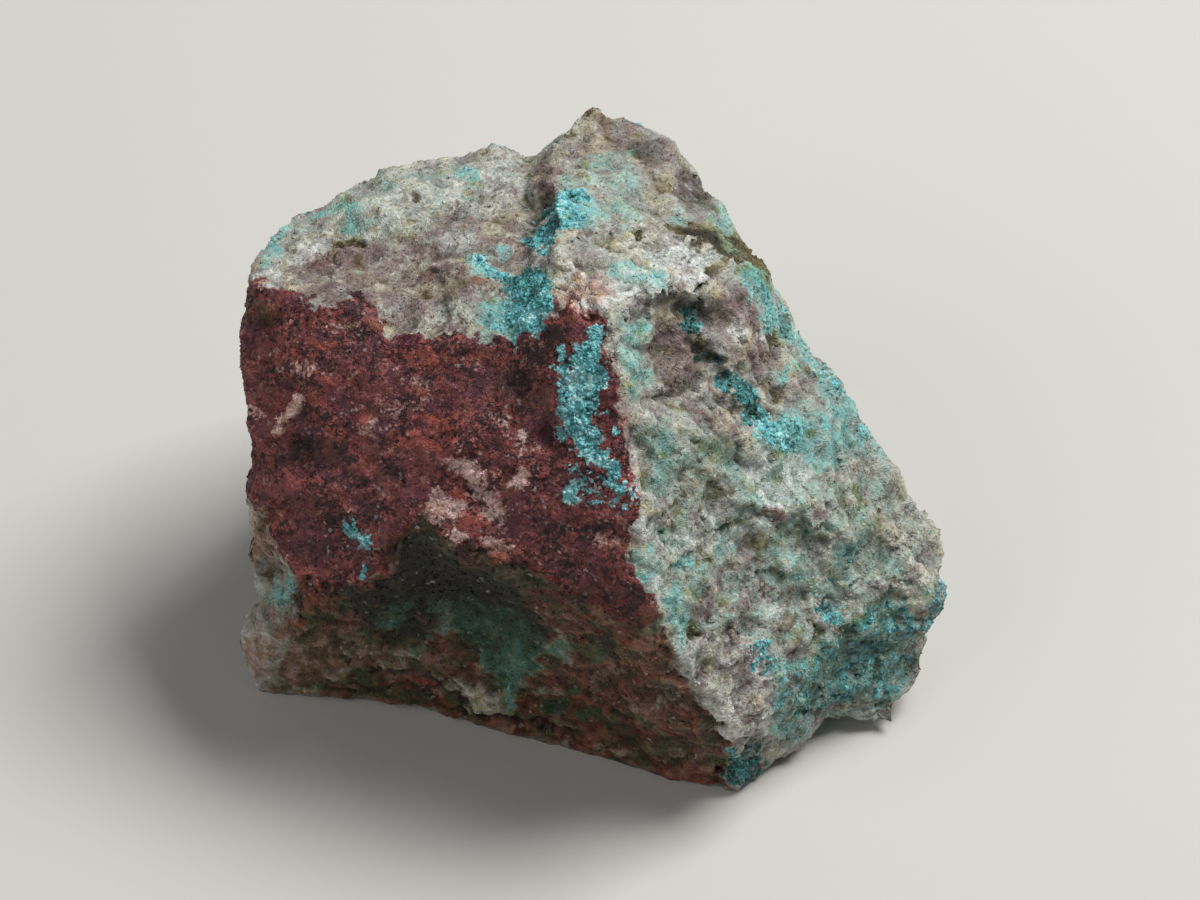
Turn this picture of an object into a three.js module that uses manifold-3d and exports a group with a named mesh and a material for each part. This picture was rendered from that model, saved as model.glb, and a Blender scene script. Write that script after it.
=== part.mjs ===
// Ajoite cluster: one broken chunk of quartz rock, with a flat plum-red joint face in front, a
// pale knobbly face on the right and a deep hollow under the red face. Millimetres, +Z up.
// The origin is under the middle of the chunk, on the flat face that it rests on.
import * as THREE from "three";
import { mergeVertices } from "three/addons/utils/BufferGeometryUtils.js";
import { ConvexHull } from "three/addons/math/ConvexHull.js";
import { ImprovedNoise } from "three/addons/math/ImprovedNoise.js";
import Module from "manifold-3d";

// The seen side is described in one slanting view, from in front and above. Its points are
// [across, up, toward]: millimetres to the right, up the view, and out toward the eye.
const VIEW_TILT = THREE.MathUtils.degToRad(50);
const EYE_DISTANCE = 240;
const MIDDLE_HEIGHT = 14.3;

// Spacing of the points along an edge, and the longest side of a face in the finished skin.
const EDGE_SPACING = 1.05;
const CLOSEST_POINTS = 0.45;
const LONGEST_SIDE = 1.6;
const LONGEST_FINE_SIDE = 0.9;

// How firmly points keep their place while the skin is evened: edges, soft lines, lone points.
const EDGE_HOLD = 1;
const LINE_HOLD = 0.8;
const SPOT_HOLD = 0.6;
const EVENING = 0.6;
const EVENING_ROUNDS = 5;
const FAIRING_ROUNDS = 4;

// Two faces may swap their shared side where they lie this flat together and get fuller by this.
const FLAT_TOGETHER = 0.75;
const FULLER_BY = 1.05;

// Relief of the broken rock: broad swells, then knobs the size of a cluster of grains. The red
// side is smoother than the hidden sides, and the right face is rougher.
const SWELL_SIZE = 5.2;
const SWELL_HEIGHT = 0.68;
const KNOB_SIZE = 2.1;
const KNOB_HEIGHT = 0.34;
const RED_SIDE_RELIEF = 0.65;
const RIGHT_SIDE_RELIEF = 1.35;
const HIDDEN_RELIEF = 1.1;
const RIGHT_SIDE_STARTS = 0;
const RIGHT_SIDE_FULL = 3;
const EVEN_FOOT_HEIGHT = 1.5;
const EDGE_RELIEF_LOSS = 0.5;

// A point well inside, from which every part of the skin can be seen.
const CORE = new THREE.Vector3(0, 4.7, 13.3);

// Wider than the chunk: the block that is left above the resting face.
const BLOCK_SIZE = 60;

// Outer edge of the seen side, clockwise from the left end of the red face round the foot.
const FOOT_EDGE = [
  [-17.8, 8, 3], [-18.1, 5.5, 3], [-17.9, 2, 3], [-17.7, -0.5, 2.5], [-17.4, -2.5, 2],
  [-17.5, -3.5, -3], [-18.1, -5.2, -4], [-17.3, -6.1, -5], [-16.9, -6.7, -5], [-17.1, -7.5, -5],
  [-17.2, -8.4, -6], [-17.9, -9, -6.5], [-18, -10.2, -7], [-17.5, -11.8, -8], [-17.1, -12.3, -8.3],
  [-15.8, -12.6, -8.2], [-14, -12.6, -8], [-11, -12.8, -7.8], [-9, -13.2, -7.5], [-6.5, -14, -7],
  [-4, -14.8, -6.4], [-2, -15.2, -6], [0, -15.7, -5.6], [2, -16.2, -5.2], [4.2, -16.9, -4.6],
  [6.1, -17.2, -4.2], [7.2, -17.1, -4], [8.2, -16.4, -4.5], [9.9, -15, -5], [11.2, -13.8, -5.5],
  [12.9, -13.2, -6], [13.5, -13.6, -6], [14.8, -13.8, -6], [14.9, -12.8, -6], [15.7, -12.3, -6],
  [16.4, -11.1, -6.5], [16.5, -9.5, -6.5], [15.8, -8.6, -6.2],
];

// Outer edge from the crack in the right foot, up the right side and back over the top.
const CROWN_EDGE = [
  [16.7, -8.9, -4], [17, -8.8, -4], [17.3, -7.7, -4], [17.5, -6.9, -4], [17.1, -5.9, -4.5],
  [17.3, -4.9, -4.5], [17, -3.9, -4.8], [15.4, -2.5, -4], [15.2, -1.4, -3.5], [14.5, -0.1, -3],
  [13.4, 1.2, -2.5], [12.8, 2.5, -2], [12.3, 2.8, -1.5], [11.5, 4, -1], [10.6, 5.5, -0.5],
  [9.9, 7, 0], [8.8, 8.4, 0.5], [7.8, 9.8, 0.5], [7.1, 11.1, 0], [6, 13, -1.5], [5.2, 14, -2.5],
  [4.2, 14.7, -3], [3.9, 15.3, -3], [2, 16.6, -3.5], [0.2, 17.2, -3], [-0.4, 17.4, -3],
  [-1.1, 17.3, -3], [-2, 16.1, -2.5], [-2.5, 15.6, -3], [-3, 14.8, -4.2], [-3.9, 14.6, -4.5],
  [-5, 15.3, -3], [-6, 15.3, -3], [-8, 14.9, -3], [-9.8, 14.6, -3], [-11.3, 13.7, -2.5],
  [-12.4, 13.4, -2.5], [-14, 12.5, -2], [-15.5, 11.7, -1.5], [-16.6, 10.6, -0.5],
  [-17.1, 9.8, 1], [-17.6, 8.4, 2.5],
];

// The red joint face: its upper edge, the ridge on its right, its overhanging foot, and its skin.
const RED_TOP = [
  [-17.6, 8.3, 3], [-16.5, 8.2, 4.2], [-15, 7.7, 4.9], [-14, 7.3, 5.2], [-12.8, 7.5, 5.4],
  [-11.2, 6.5, 6], [-10.8, 6, 6.2], [-9.5, 5.8, 6.6], [-8, 5.7, 7], [-6.5, 5.6, 7.5],
  [-5, 5.5, 8], [-3.9, 6, 8.5], [-2.8, 6.8, 9], [-1, 7.4, 9.4], [0.2, 7.7, 9.5],
];
const RIDGE = [
  [0.2, 7.7, 9.5], [0.6, 6, 9.8], [0.9, 4, 10], [1.2, 2, 10], [1.4, 0, 10], [1.8, -2, 9.8],
  [2, -3.5, 9.5], [2, -4.8, 9.2], [1.7, -5.6, 9], [2.1, -6.5, 8.6], [2.6, -7.8, 7.8],
  [3.1, -8.8, 7], [3.6, -10, 6], [4.5, -10.9, 4.8], [5, -12, 3.6], [5.8, -13.2, 2.2],
  [6.8, -14.5, 0.6],
];
const RED_FOOT = [
  [-17.4, -2.5, 2], [-16.9, -3.5, 2.3], [-16.4, -4.8, 2.6], [-15.8, -5.9, 2.9], [-15, -6.6, 3],
  [-14.1, -7.5, 2.9], [-13, -7.1, 3.6], [-11.9, -6.6, 4.4], [-10.9, -6.1, 5.2],
  [-10.2, -5.3, 5.9], [-9.9, -4.3, 6.4], [-8.9, -4, 6.8], [-7.9, -4.5, 7], [-6.9, -5, 7.2],
  [-5.9, -5.5, 7.3], [-4.8, -5.8, 7.4], [-3.5, -6.2, 7.5], [-2, -7, 7.6], [-0.5, -7.7, 7.7],
  [0.8, -8.4, 7.6], [2, -9.1, 7.3], [3.1, -8.8, 7],
];
const RED_SKIN = [
  [-15, 5.5, 5], [-15, 2.5, 4.4], [-12.5, 0, 5.3], [-9, 2.5, 7], [-5, 1, 8.2], [-2, 2.5, 9.3],
  [-7.5, -2.5, 7.2], [-13.5, -3.5, 4.4], [-2, -3.5, 8.7],
];

// The sloping shoulder above the red face, the gully between it and the peak, and the pocket.
const SHOULDER_SKIN = [
  [-15, 10, 1.8], [-13.5, 8, 4], [-11, 10.5, 2.2], [-8, 8.5, 4], [-7, 11.2, 2.2], [-4.5, 12.5, 0.5],
];
const GULLY = [
  [-3.9, 14.6, -4.5], [-3.6, 13, -1.6], [-3.4, 11.8, 0.8], [-3.6, 10.2, 3.2], [-4, 9.4, 4.6],
];
const PEAK_EDGE = [
  [-2, 16.1, -2.5], [-2.4, 14.5, 0.6], [-2.6, 13, 3.2], [-2.2, 11.8, 5], [-2.4, 10, 6.8],
  [-2.4, 8, 8.8], [-2.8, 6.8, 9],
];
const POCKET_RIM = [[-6.5, 9.1, 4.8], [-6.1, 7.2, 6], [-5.9, 5.9, 7.4], [-5, 5.5, 8]];
const POCKET_FLOOR = [[-4.5, 7.5, 5.4], [-3.5, 8.8, 4.6], [-5, 8.4, 4.6]];
const PEAK_SKIN = [
  [2, 14, 1], [0, 13.5, 2.5], [3, 12, 2.5], [1, 10.5, 5.5], [4.5, 10.8, 3], [6, 11, 1.5],
  [0, 9.5, 7.5], [2.5, 9.4, 6.8],
];

// The white ledge across the top of the right face, the slot under it, the sunk panel below the
// slot, and the bank that stands above the panel on its right.
const LEDGE = [
  [0.2, 7.7, 9.5], [1.5, 7.8, 9.2], [2.8, 8.2, 8.6], [4, 8, 7.8], [5, 7.9, 7], [5.6, 8.5, 6],
  [6.8, 9.1, 4.2], [7.6, 8.9, 2.6],
];
const SLOT = [[2.7, 7.4, 7.4], [3.4, 7.2, 6.7], [4.2, 7.1, 6], [5, 6.9, 5.5]];
const PANEL = [
  [2.6, 5.2, 8], [3.5, 5, 6.8], [4.5, 5.7, 5.5], [5, 4.9, 5.1], [5.6, 4.1, 4.9],
  [4.5, 3.3, 6.3], [3.2, 2.6, 7.8],
];
const PANEL_BANK = [
  [5.2, 6.1, 6.4], [5.9, 5, 6], [6.5, 4, 5.6], [7.2, 6, 4.9], [8, 7.5, 3.6], [9, 5.5, 2.9],
  [1.5, 5, 9.4],
];

// The right face slopes evenly away from the ridge, and bends back below. Each of its spots is
// [across, up, raised]: raised or sunk from that slope.
const RIDGE_DEPTH = 10;
const RIDGE_ACROSS = 1.3;
const RIGHT_FACE_FALL = 0.86;
const RIGHT_FACE_BEND = -4;
const RIGHT_FOOT_FALL = 0.45;
const RIGHT_FACE_SPOTS = [
  [8, -3.5, -0.6], [10, -1, 0.6], [12.5, 1, -0.7], [13.5, -5, -0.6], [11, -7.5, 0.5],
  [5, -7.5, 0.3], [4.5, -3, 0], [6.5, 0.5, 0.2], [9, 3, 0.1], [7.5, -10.5, 0.2],
];
const RIGHT_FACE_FOOT = [[14.5, -9.5, -5.8], [15, -10.5, -5.8], [13.5, -12, -4.8]];

// The undercut front below the red face, the pale lobes on its left, and the toe on its right.
const FRONT_SKIN = [
  [-8, -6.2, 1.5], [-6, -7.5, -0.5], [-10, -7.5, 0], [-12.5, -8, 0.5], [-4, -8.5, 0.5],
  [-6, -9.5, -1.5], [-2, -10, 0.5], [-6.5, -11.5, -2.5], [-6.5, -12.5, -3.5], [2, -11.5, 3],
  [2, -13.5, -1], [-16.9, -10, -5], [-15.5, -9.5, -4], [-15, -11.5, -6],
];
const TOE = [[7, -14.6, 0.5], [8.5, -14.3, -1], [10, -14.9, -4.8]];

// The hidden sides and back are plain [x, y, z] points above the resting face, with one ledge.
const HIDDEN_SIDES = [
  [-16.8, 5, 15], [-16.5, 9, 10], [-17, 3, 8], [-17.3, 2, 2.5], [-16, 9, 2], [-12.5, 12.5, 14],
  [-12, 12.5, 4], [-11, 13, 0], [-5, 16.5, 15], [-4, 16.5, 4], [-4.5, 15.5, 0], [2, 18, 14],
  [3, 17.5, 4], [3, 16, 0], [7.5, 12.5, 14], [10, 10, 8], [13.5, 5, 8], [15.5, 0.5, 4],
  [-4.2, 15.4, 17.8], [-9, 15, 17], [1, 17.3, 18],
];
const BACK_LEDGE = [
  [-12, 13.6, 9.2], [-9, 15.2, 8.6], [-6, 16.8, 9.2], [-1, 18.2, 8.4], [2.5, 18.3, 9.2],
  [5.5, 16.2, 8.6],
];
const BACK_LEDGE_FOOT = [
  [-12, 12.6, 7.9], [-9, 14.2, 7.4], [-6, 15.7, 7.9], [-1, 17.1, 7.2], [2.5, 17.2, 7.9],
  [5.5, 15.2, 7.4],
];
const RESTING_RIM = [
  [-15, 10, 0], [-9, 13.5, 0], [-2, 16, 0], [5, 14.5, 0], [9.5, 9, 0], [12.5, 4, 0],
  [14, -1, 0], [13.5, -5, 0.2],
];
const RESTING_FACE = [
  [-8, 5, -0.35], [0, 5, -0.35], [6, 2, -0.35], [0, -3, -0.35], [-8, 0, -0.35], [6, -5, -0.35],
];

// Lumps that break the evenness of the seen faces: [across, up, width, height].
const LUMPS = [
  [8.2, 0.4, 2.2, 0.5], [11.6, -3.2, 2.4, 0.5], [5.4, -5.4, 2, 0.45], [9.4, -9.2, 2.4, 0.5],
  [13.4, -1.6, 1.8, 0.4], [3.6, 0.2, 1.6, 0.3], [-7.5, -10.2, 2, 0.6], [-11.5, 12, 2.2, 0.4],
  [-3, -1.5, 3, 0.3], [-12, 3.5, 3, 0.3],
];

// The slot, the pocket and the sunk panel are drawn with finer faces.
const FINE_PLACES = [[4, 7, 6], [-4.2, 7.8, 6], [5, 4.5, 5]].map(seen);
const FINE_REACH = 4;

const EYE = new THREE.Vector3(
  0,
  -EYE_DISTANCE * Math.cos(VIEW_TILT),
  EYE_DISTANCE * Math.sin(VIEW_TILT) + MIDDLE_HEIGHT,
);
const noise = new ImprovedNoise();

// Turns a point of the slanting view into x, y, z. A farther point looks nearer the middle of
// the view than it is, so it lies wider.
function seen([across, up, toward]) {
  const spread = (EYE_DISTANCE - toward) / EYE_DISTANCE;
  const y = up * spread * Math.sin(VIEW_TILT) - toward * Math.cos(VIEW_TILT);
  const z = up * spread * Math.cos(VIEW_TILT) + toward * Math.sin(VIEW_TILT) + MIDDLE_HEIGHT;
  return new THREE.Vector3(across * spread, y, z);
}

// Where a place falls across and up the slanting view: the way back from seen().
function inView(place) {
  const rise = place.z - MIDDLE_HEIGHT;
  const toward = rise * Math.sin(VIEW_TILT) - place.y * Math.cos(VIEW_TILT);
  const up = place.y * Math.sin(VIEW_TILT) + rise * Math.cos(VIEW_TILT);
  const spread = (EYE_DISTANCE - toward) / EYE_DISTANCE;
  return new THREE.Vector2(place.x / spread, up / spread);
}

// A point of the right face, raised or sunk from its even slope.
function onRightFace([across, up, raised]) {
  const slope = RIDGE_DEPTH - RIGHT_FACE_FALL * (across - RIDGE_ACROSS);
  const bend = RIGHT_FOOT_FALL * Math.min(0, up - RIGHT_FACE_BEND);
  return seen([across, up, slope + bend + raised]);
}

// A plain point above the resting face.
function standing([x, y, z]) {
  return new THREE.Vector3(x, y, z);
}

// Points along a broken edge, close enough together for the skin to keep it.
function along(points) {
  const line = [points[0]];
  for (let i = 1; i < points.length; i += 1) {
    const start = points[i - 1];
    const end = points[i];
    const steps = Math.max(1, Math.round(start.distanceTo(end) / EDGE_SPACING));
    for (let step = 1; step <= steps; step += 1) {
      line.push(start.clone().lerp(end, step / steps));
    }
  }
  return line;
}

// Gathers the points, leaving out any that fall on one already there.
function gather() {
  const spots = [];
  const addAll = (positions, held) => {
    for (const position of positions) {
      const taken = spots.some((spot) => spot.position.distanceTo(position) < CLOSEST_POINTS);
      if (!taken) {
        spots.push({ position, held });
      }
    }
  };
  const edges = [RED_TOP, RIDGE, RED_FOOT, LEDGE, FOOT_EDGE, CROWN_EDGE, PEAK_EDGE, POCKET_RIM];
  edges.forEach((edge) => addAll(along(edge.map(seen)), EDGE_HOLD));
  [BACK_LEDGE, BACK_LEDGE_FOOT].forEach((line) => addAll(along(line.map(standing)), LINE_HOLD));
  [SLOT, GULLY].forEach((line) => addAll(along(line.map(seen)), LINE_HOLD));
  const skins = [
    RED_SKIN, SHOULDER_SKIN, POCKET_FLOOR, PEAK_SKIN, PANEL, PANEL_BANK, RIGHT_FACE_FOOT,
    FRONT_SKIN, TOE,
  ];
  skins.forEach((skin) => addAll(skin.map(seen), SPOT_HOLD));
  addAll(RIGHT_FACE_SPOTS.map(onRightFace), SPOT_HOLD);
  addAll([...HIDDEN_SIDES, ...RESTING_RIM, ...RESTING_FACE].map(standing), SPOT_HOLD);
  return spots;
}

// Joins the points into a closed skin of triangles, by their directions from the core.
function wrap(spots) {
  const directions = spots.map((spot) => spot.position.clone().sub(CORE).normalize());
  const numbers = new Map(directions.map((direction, index) => [direction, index]));
  const hull = new ConvexHull().setFromPoints(directions);
  return hull.faces.map(({ edge }) => {
    return [edge, edge.next, edge.next.next].map((side) => numbers.get(side.head().point));
  });
}

// The longest side allowed at a place.
function longestSide(place) {
  const fine = FINE_PLACES.some((middle) => middle.distanceTo(place) < FINE_REACH);
  return fine ? LONGEST_FINE_SIDE : LONGEST_SIDE;
}

// Splits every side that is too long at its middle, until none is left.
function refine(spots, triangles) {
  const middles = new Map();
  const middleOf = (a, b) => {
    const key = sideKey(a, b);
    if (!middles.has(key)) {
      const start = spots[a].position;
      const end = spots[b].position;
      const middle = start.clone().add(end).divideScalar(2);
      const long = start.distanceTo(end) > longestSide(middle);
      middles.set(key, long ? spots.push({ position: middle, held: 0 }) - 1 : undefined);
    }
    return middles.get(key);
  };
  const pieces = triangles.flatMap(([a, b, c]) => {
    return splitTriangle([a, b, c], [middleOf(a, b), middleOf(b, c), middleOf(c, a)], spots);
  });
  return pieces.length === triangles.length ? pieces : refine(spots, pieces);
}

// Cuts one triangle at the middles of its long sides. A side with no middle stays whole.
function splitTriangle([a, b, c], [ab, bc, ca], spots) {
  const cuts = [ab, bc, ca].filter((middle) => middle !== undefined).length;
  if (cuts === 0) {
    return [[a, b, c]];
  }
  if (cuts === 3) {
    return [[a, ab, ca], [ab, b, bc], [ca, bc, c], [ab, bc, ca]];
  }
  // The triangle is turned until its first side is cut, and its second too if two are.
  if (ab === undefined || (cuts === 2 && bc === undefined)) {
    return splitTriangle([b, c, a], [bc, ca, ab], spots);
  }
  if (cuts === 1) {
    return [[a, ab, c], [ab, b, c]];
  }
  const fromFirst = spots[ab].position.distanceTo(spots[c].position);
  const fromSecond = spots[bc].position.distanceTo(spots[a].position);
  const rest = fromFirst < fromSecond ? [[a, ab, c], [ab, bc, c]] : [[a, ab, bc], [a, bc, c]];
  return [[ab, b, bc], ...rest];
}

// One name for a side, whichever way round it is taken.
function sideKey(a, b) {
  return a < b ? `${a} ${b}` : `${b} ${a}`;
}

// How near a face is to a full triangle, not a sliver, and the way that it faces.
function measureFace(spots, corners) {
  const face = new THREE.Triangle(...corners.map((corner) => spots[corner].position));
  const longest = Math.max(face.a.distanceTo(face.b), face.b.distanceTo(face.c),
    face.c.distanceTo(face.a));
  return { fullness: face.getArea() / longest ** 2, normal: face.getNormal(new THREE.Vector3()) };
}

// True where faces c-a-d and c-d-b are fuller than a-b-c and b-a-d, and all lie nearly flat.
function isBetterTurned(spots, [a, b, c, d]) {
  const [first, second] = [[a, b, c], [b, a, d]].map((face) => measureFace(spots, face));
  const [third, fourth] = [[c, a, d], [c, d, b]].map((face) => measureFace(spots, face));
  const before = Math.min(first.fullness, second.fullness);
  const after = Math.min(third.fullness, fourth.fullness);
  const flattest = Math.min(first.normal.dot(second.normal), third.normal.dot(fourth.normal),
    first.normal.dot(third.normal));
  return after > before * FULLER_BY && flattest > FLAT_TOGETHER;
}

// Turns the side between two faces to their other diagonal where that makes them fuller.
function turnSides(spots, triangles) {
  const sidesOf = ([a, b, c]) => [[a, b, c], [b, c, a], [c, a, b]];
  const owners = new Map();
  triangles.forEach((triangle, index) => {
    for (const [a, b] of sidesOf(triangle)) {
      const key = sideKey(a, b);
      owners.set(key, [...(owners.get(key) ?? []), index]);
    }
  });
  const turned = new Set();
  for (const [key, [near, far]] of owners) {
    const [a, b, c] = sidesOf(triangles[near]).find(([i, j]) => sideKey(i, j) === key) ?? [];
    const d = triangles[far].find((corner) => corner !== a && corner !== b);
    const free = !turned.has(near) && !turned.has(far) && !owners.has(sideKey(c, d));
    if (free && isBetterTurned(spots, [a, b, c, d])) {
      triangles[near] = [c, a, d];
      triangles[far] = [c, d, b];
      turned.add(near).add(far);
    }
  }
}

// Evens out the faces between the edges. Held points stay, and half-held ones are drawn back.
function even(spots, triangles) {
  const neighbours = spots.map(() => new Set());
  for (const [a, b, c] of triangles) {
    neighbours[a].add(b).add(c);
    neighbours[b].add(a).add(c);
    neighbours[c].add(a).add(b);
  }
  const starts = spots.map((spot) => spot.position.clone());
  for (let round = 0; round < EVENING_ROUNDS; round += 1) {
    const means = neighbours.map((set) => {
      const mean = new THREE.Vector3();
      set.forEach((index) => mean.add(spots[index].position));
      return mean.divideScalar(set.size);
    });
    spots.forEach((spot, index) => {
      spot.position.lerp(means[index], EVENING).lerp(starts[index], spot.held);
    });
  }
}

// Outward direction of the skin at each point.
function outward(spots, triangles) {
  const sums = spots.map(() => new THREE.Vector3());
  for (const corners of triangles) {
    const face = new THREE.Triangle(...corners.map((corner) => spots[corner].position));
    const normal = face.getNormal(new THREE.Vector3()).multiplyScalar(face.getArea());
    corners.forEach((corner) => sums[corner].add(normal));
  }
  return sums.map((sum) => sum.normalize());
}

// The rock's own relief at a place: soft swells, and knobs with sharper clefts between them.
function relief(place) {
  const waves = (size, shift) => {
    const at = place.clone().divideScalar(size);
    return noise.noise(at.x + shift, at.y + shift * 2, at.z + shift * 3);
  };
  const swell = waves(SWELL_SIZE, 7.3) + waves(SWELL_SIZE / 2, 3.1) / 2;
  const knob = 2 * Math.abs(waves(KNOB_SIZE, 5.7)) + 0.6 * waves(KNOB_SIZE * 0.7, 1.9) - 0.5;
  return SWELL_HEIGHT * swell + KNOB_HEIGHT * knob;
}

// Moves each point out or in by the relief, and on the seen side by the lumps near it.
function roughen(spots, triangles) {
  const normals = outward(spots, triangles);
  spots.forEach(({ position, held }, index) => {
    const towardEye = EYE.clone().sub(position).normalize();
    const facing = Math.max(0, normals[index].dot(towardEye));
    const at = inView(position);
    const right = THREE.MathUtils.smoothstep(at.x, RIGHT_SIDE_STARTS, RIGHT_SIDE_FULL);
    const seenRelief = THREE.MathUtils.lerp(RED_SIDE_RELIEF, RIGHT_SIDE_RELIEF, right);
    let height = relief(position) * THREE.MathUtils.lerp(HIDDEN_RELIEF, seenRelief, facing);
    for (const [across, up, width, rise] of LUMPS) {
      const away = at.distanceTo(new THREE.Vector2(across, up)) / width;
      height += facing * rise * Math.exp(-2 * away * away);
    }
    const aboveFoot = THREE.MathUtils.clamp(position.z / EVEN_FOOT_HEIGHT, 0, 1);
    const kept = aboveFoot * (1 - EDGE_RELIEF_LOSS * held);
    position.addScaledVector(normals[index], height * kept);
  });
}

// Cuts the underside flat, so that the chunk rests on a real flat face at z = 0.
async function restFlat(skin) {
  const wasm = await Module();
  wasm.setup();
  const solid = (geometry) => new wasm.Manifold(new wasm.Mesh({
    numProp: 3,
    vertProperties: Float32Array.from(geometry.getAttribute("position").array),
    triVerts: Uint32Array.from(geometry.index.array),
  }));
  const box = new THREE.BoxGeometry(BLOCK_SIZE, BLOCK_SIZE, BLOCK_SIZE);
  box.translate(0, 0, BLOCK_SIZE / 2);
  box.deleteAttribute("normal");
  box.deleteAttribute("uv");
  const cut = solid(skin).intersect(solid(mergeVertices(box))).getMesh();
  return toGeometry(cut.vertProperties, cut.triVerts);
}

// A three.js geometry from corner positions and the corners of each triangle.
function toGeometry(positions, corners) {
  const geometry = new THREE.BufferGeometry();
  geometry.setAttribute("position", new THREE.BufferAttribute(Float32Array.from(positions), 3));
  geometry.setIndex(new THREE.BufferAttribute(Uint32Array.from(corners), 1));
  return geometry;
}

// The whole chunk, with its middle over the origin.
async function buildChunk() {
  const spots = gather();
  const triangles = refine(spots, wrap(spots));
  for (let round = 0; round < FAIRING_ROUNDS; round += 1) {
    turnSides(spots, triangles);
    even(spots, triangles);
  }
  roughen(spots, triangles);
  const positions = spots.flatMap((spot) => spot.position.toArray());
  const chunk = await restFlat(toGeometry(positions, triangles.flat()));
  chunk.computeBoundingBox();
  const middle = chunk.boundingBox.getCenter(new THREE.Vector3());
  chunk.translate(-middle.x, -middle.y, 0);
  chunk.computeVertexNormals();
  return chunk;
}

const stone = new THREE.MeshStandardMaterial({ color: "#8f8a80", roughness: 0.85, metalness: 0 });
const rock = new THREE.Mesh(await buildChunk(), stone);
rock.name = "ajoite_rock";

const cluster = new THREE.Group();
cluster.add(rock);
export default cluster;
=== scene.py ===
"""Looks of a broken chunk of ajoite-bearing quartz rock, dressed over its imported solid.

The chunk is one stone. Its skin is a fine mesh grown from the solid: broken quartz with ledges,
chips and pits. Crystal grains of quartz and crusts of ajoite grains sit on the skin. Where each
finish lies is marked in the photograph's view, and carried on round the hidden sides.
"""

import logging
import math
from dataclasses import dataclass
from enum import Enum

import bmesh
import bpy
import numpy as np
from mathutils import Matrix, Vector, noise

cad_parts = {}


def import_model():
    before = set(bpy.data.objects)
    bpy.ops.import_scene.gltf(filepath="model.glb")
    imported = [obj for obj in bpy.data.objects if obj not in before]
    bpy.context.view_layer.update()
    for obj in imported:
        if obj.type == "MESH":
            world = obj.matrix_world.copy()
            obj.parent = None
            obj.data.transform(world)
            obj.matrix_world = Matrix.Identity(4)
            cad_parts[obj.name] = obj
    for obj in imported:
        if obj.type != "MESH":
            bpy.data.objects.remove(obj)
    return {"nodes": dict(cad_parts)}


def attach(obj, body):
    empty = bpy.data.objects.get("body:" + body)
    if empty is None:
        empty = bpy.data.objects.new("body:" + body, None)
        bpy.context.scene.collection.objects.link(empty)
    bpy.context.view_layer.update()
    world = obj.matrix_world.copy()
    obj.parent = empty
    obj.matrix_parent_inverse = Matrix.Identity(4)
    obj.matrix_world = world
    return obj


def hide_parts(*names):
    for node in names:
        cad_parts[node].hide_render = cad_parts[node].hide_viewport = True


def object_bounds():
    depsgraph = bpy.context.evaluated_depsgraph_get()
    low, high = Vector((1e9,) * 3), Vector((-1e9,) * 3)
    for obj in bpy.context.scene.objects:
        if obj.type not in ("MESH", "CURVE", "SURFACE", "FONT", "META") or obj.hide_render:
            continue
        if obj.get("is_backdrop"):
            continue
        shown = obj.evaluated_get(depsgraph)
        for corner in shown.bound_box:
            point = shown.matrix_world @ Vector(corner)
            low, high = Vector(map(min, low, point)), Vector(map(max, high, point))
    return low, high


LOG = logging.getLogger("ajoite_rock")

MM = 0.001
ROOT_BODY = "root"
STONE_NODE = "ajoite_rock"
WELD_DISTANCE = 2e-6
CREST = "crest_height"
FAR = 1e9
TINY = 1e-9

# Blender's noise has no seed, so each seed looks at another place in it, this many steps away.
CLOUD_STEP = np.array([17.3, 5.9, 11.7])
RIDGE_STEP = np.array([9.1, 14.3, 4.7])
SHARD_STEP = np.array([3.1, 8.7, 6.3])

Socket = bpy.types.NodeSocket
Outline = tuple[tuple[float, float], ...]


def linear_colour(hex_colour: str) -> tuple[float, float, float, float]:
    """Turns an sRGB hex colour into a linear colour with alpha 1.

    Args:
        hex_colour: A colour such as "#3fa9bc".

    Returns:
        Linear red, green, blue and alpha.
    """
    channels = [int(hex_colour[place : place + 2], 16) / 255 for place in (1, 3, 5)]
    linear = [c / 12.92 if c <= 0.04045 else ((c + 0.055) / 1.055) ** 2.4 for c in channels]
    return (*linear, 1.0)


def ease(low: float, high: float, values: np.ndarray) -> np.ndarray:
    """Rises smoothly from 0 at low to 1 at high.

    Args:
        low: Value where the rise starts.
        high: Value where it ends; it may be below low for a fall.
        values: Numbers to ease.

    Returns:
        Eased numbers from 0 to 1.
    """
    share = np.clip((values - low) / (high - low), 0.0, 1.0)
    return share * share * (3.0 - 2.0 * share)


def cloud(points: np.ndarray, period: float, octaves: int, seed: int, rough: float = 0.1) -> np.ndarray:
    """Cloudy noise of about -1 to 1 at points in millimetres.

    Args:
        points: One row of x, y, z for each point.
        period: Size of the largest clouds, in millimetres.
        octaves: How many times finer clouds are added.
        seed: Picks another part of the noise.
        rough: How strong the finer clouds are, from 0 to 1.

    Returns:
        One number for each point.
    """
    places = points / period + CLOUD_STEP * seed
    fade = 1.0 - rough
    finer = 2.0
    return np.array([noise.fractal(place, fade, finer, octaves) for place in places.tolist()])


def ridges(points: np.ndarray, period: float, octaves: int, seed: int) -> np.ndarray:
    """Noise of about -1 to 1 with sharp crests and rounded hollows, as on broken rock.

    Args:
        points: One row of x, y, z for each point, in millimetres.
        period: Size of the largest ridges, in millimetres.
        octaves: How many times finer ridges are added.
        seed: Picks another part of the noise.

    Returns:
        One number for each point.
    """
    places = points / period + RIDGE_STEP * seed
    fade, finer, offset, gain, mean = 0.9, 2.1, 1.0, 2.0, 1.2
    ridged = noise.ridged_multi_fractal
    raw = [ridged(place, fade, finer, octaves, offset, gain) for place in places.tolist()]
    return np.array(raw) - mean


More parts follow.
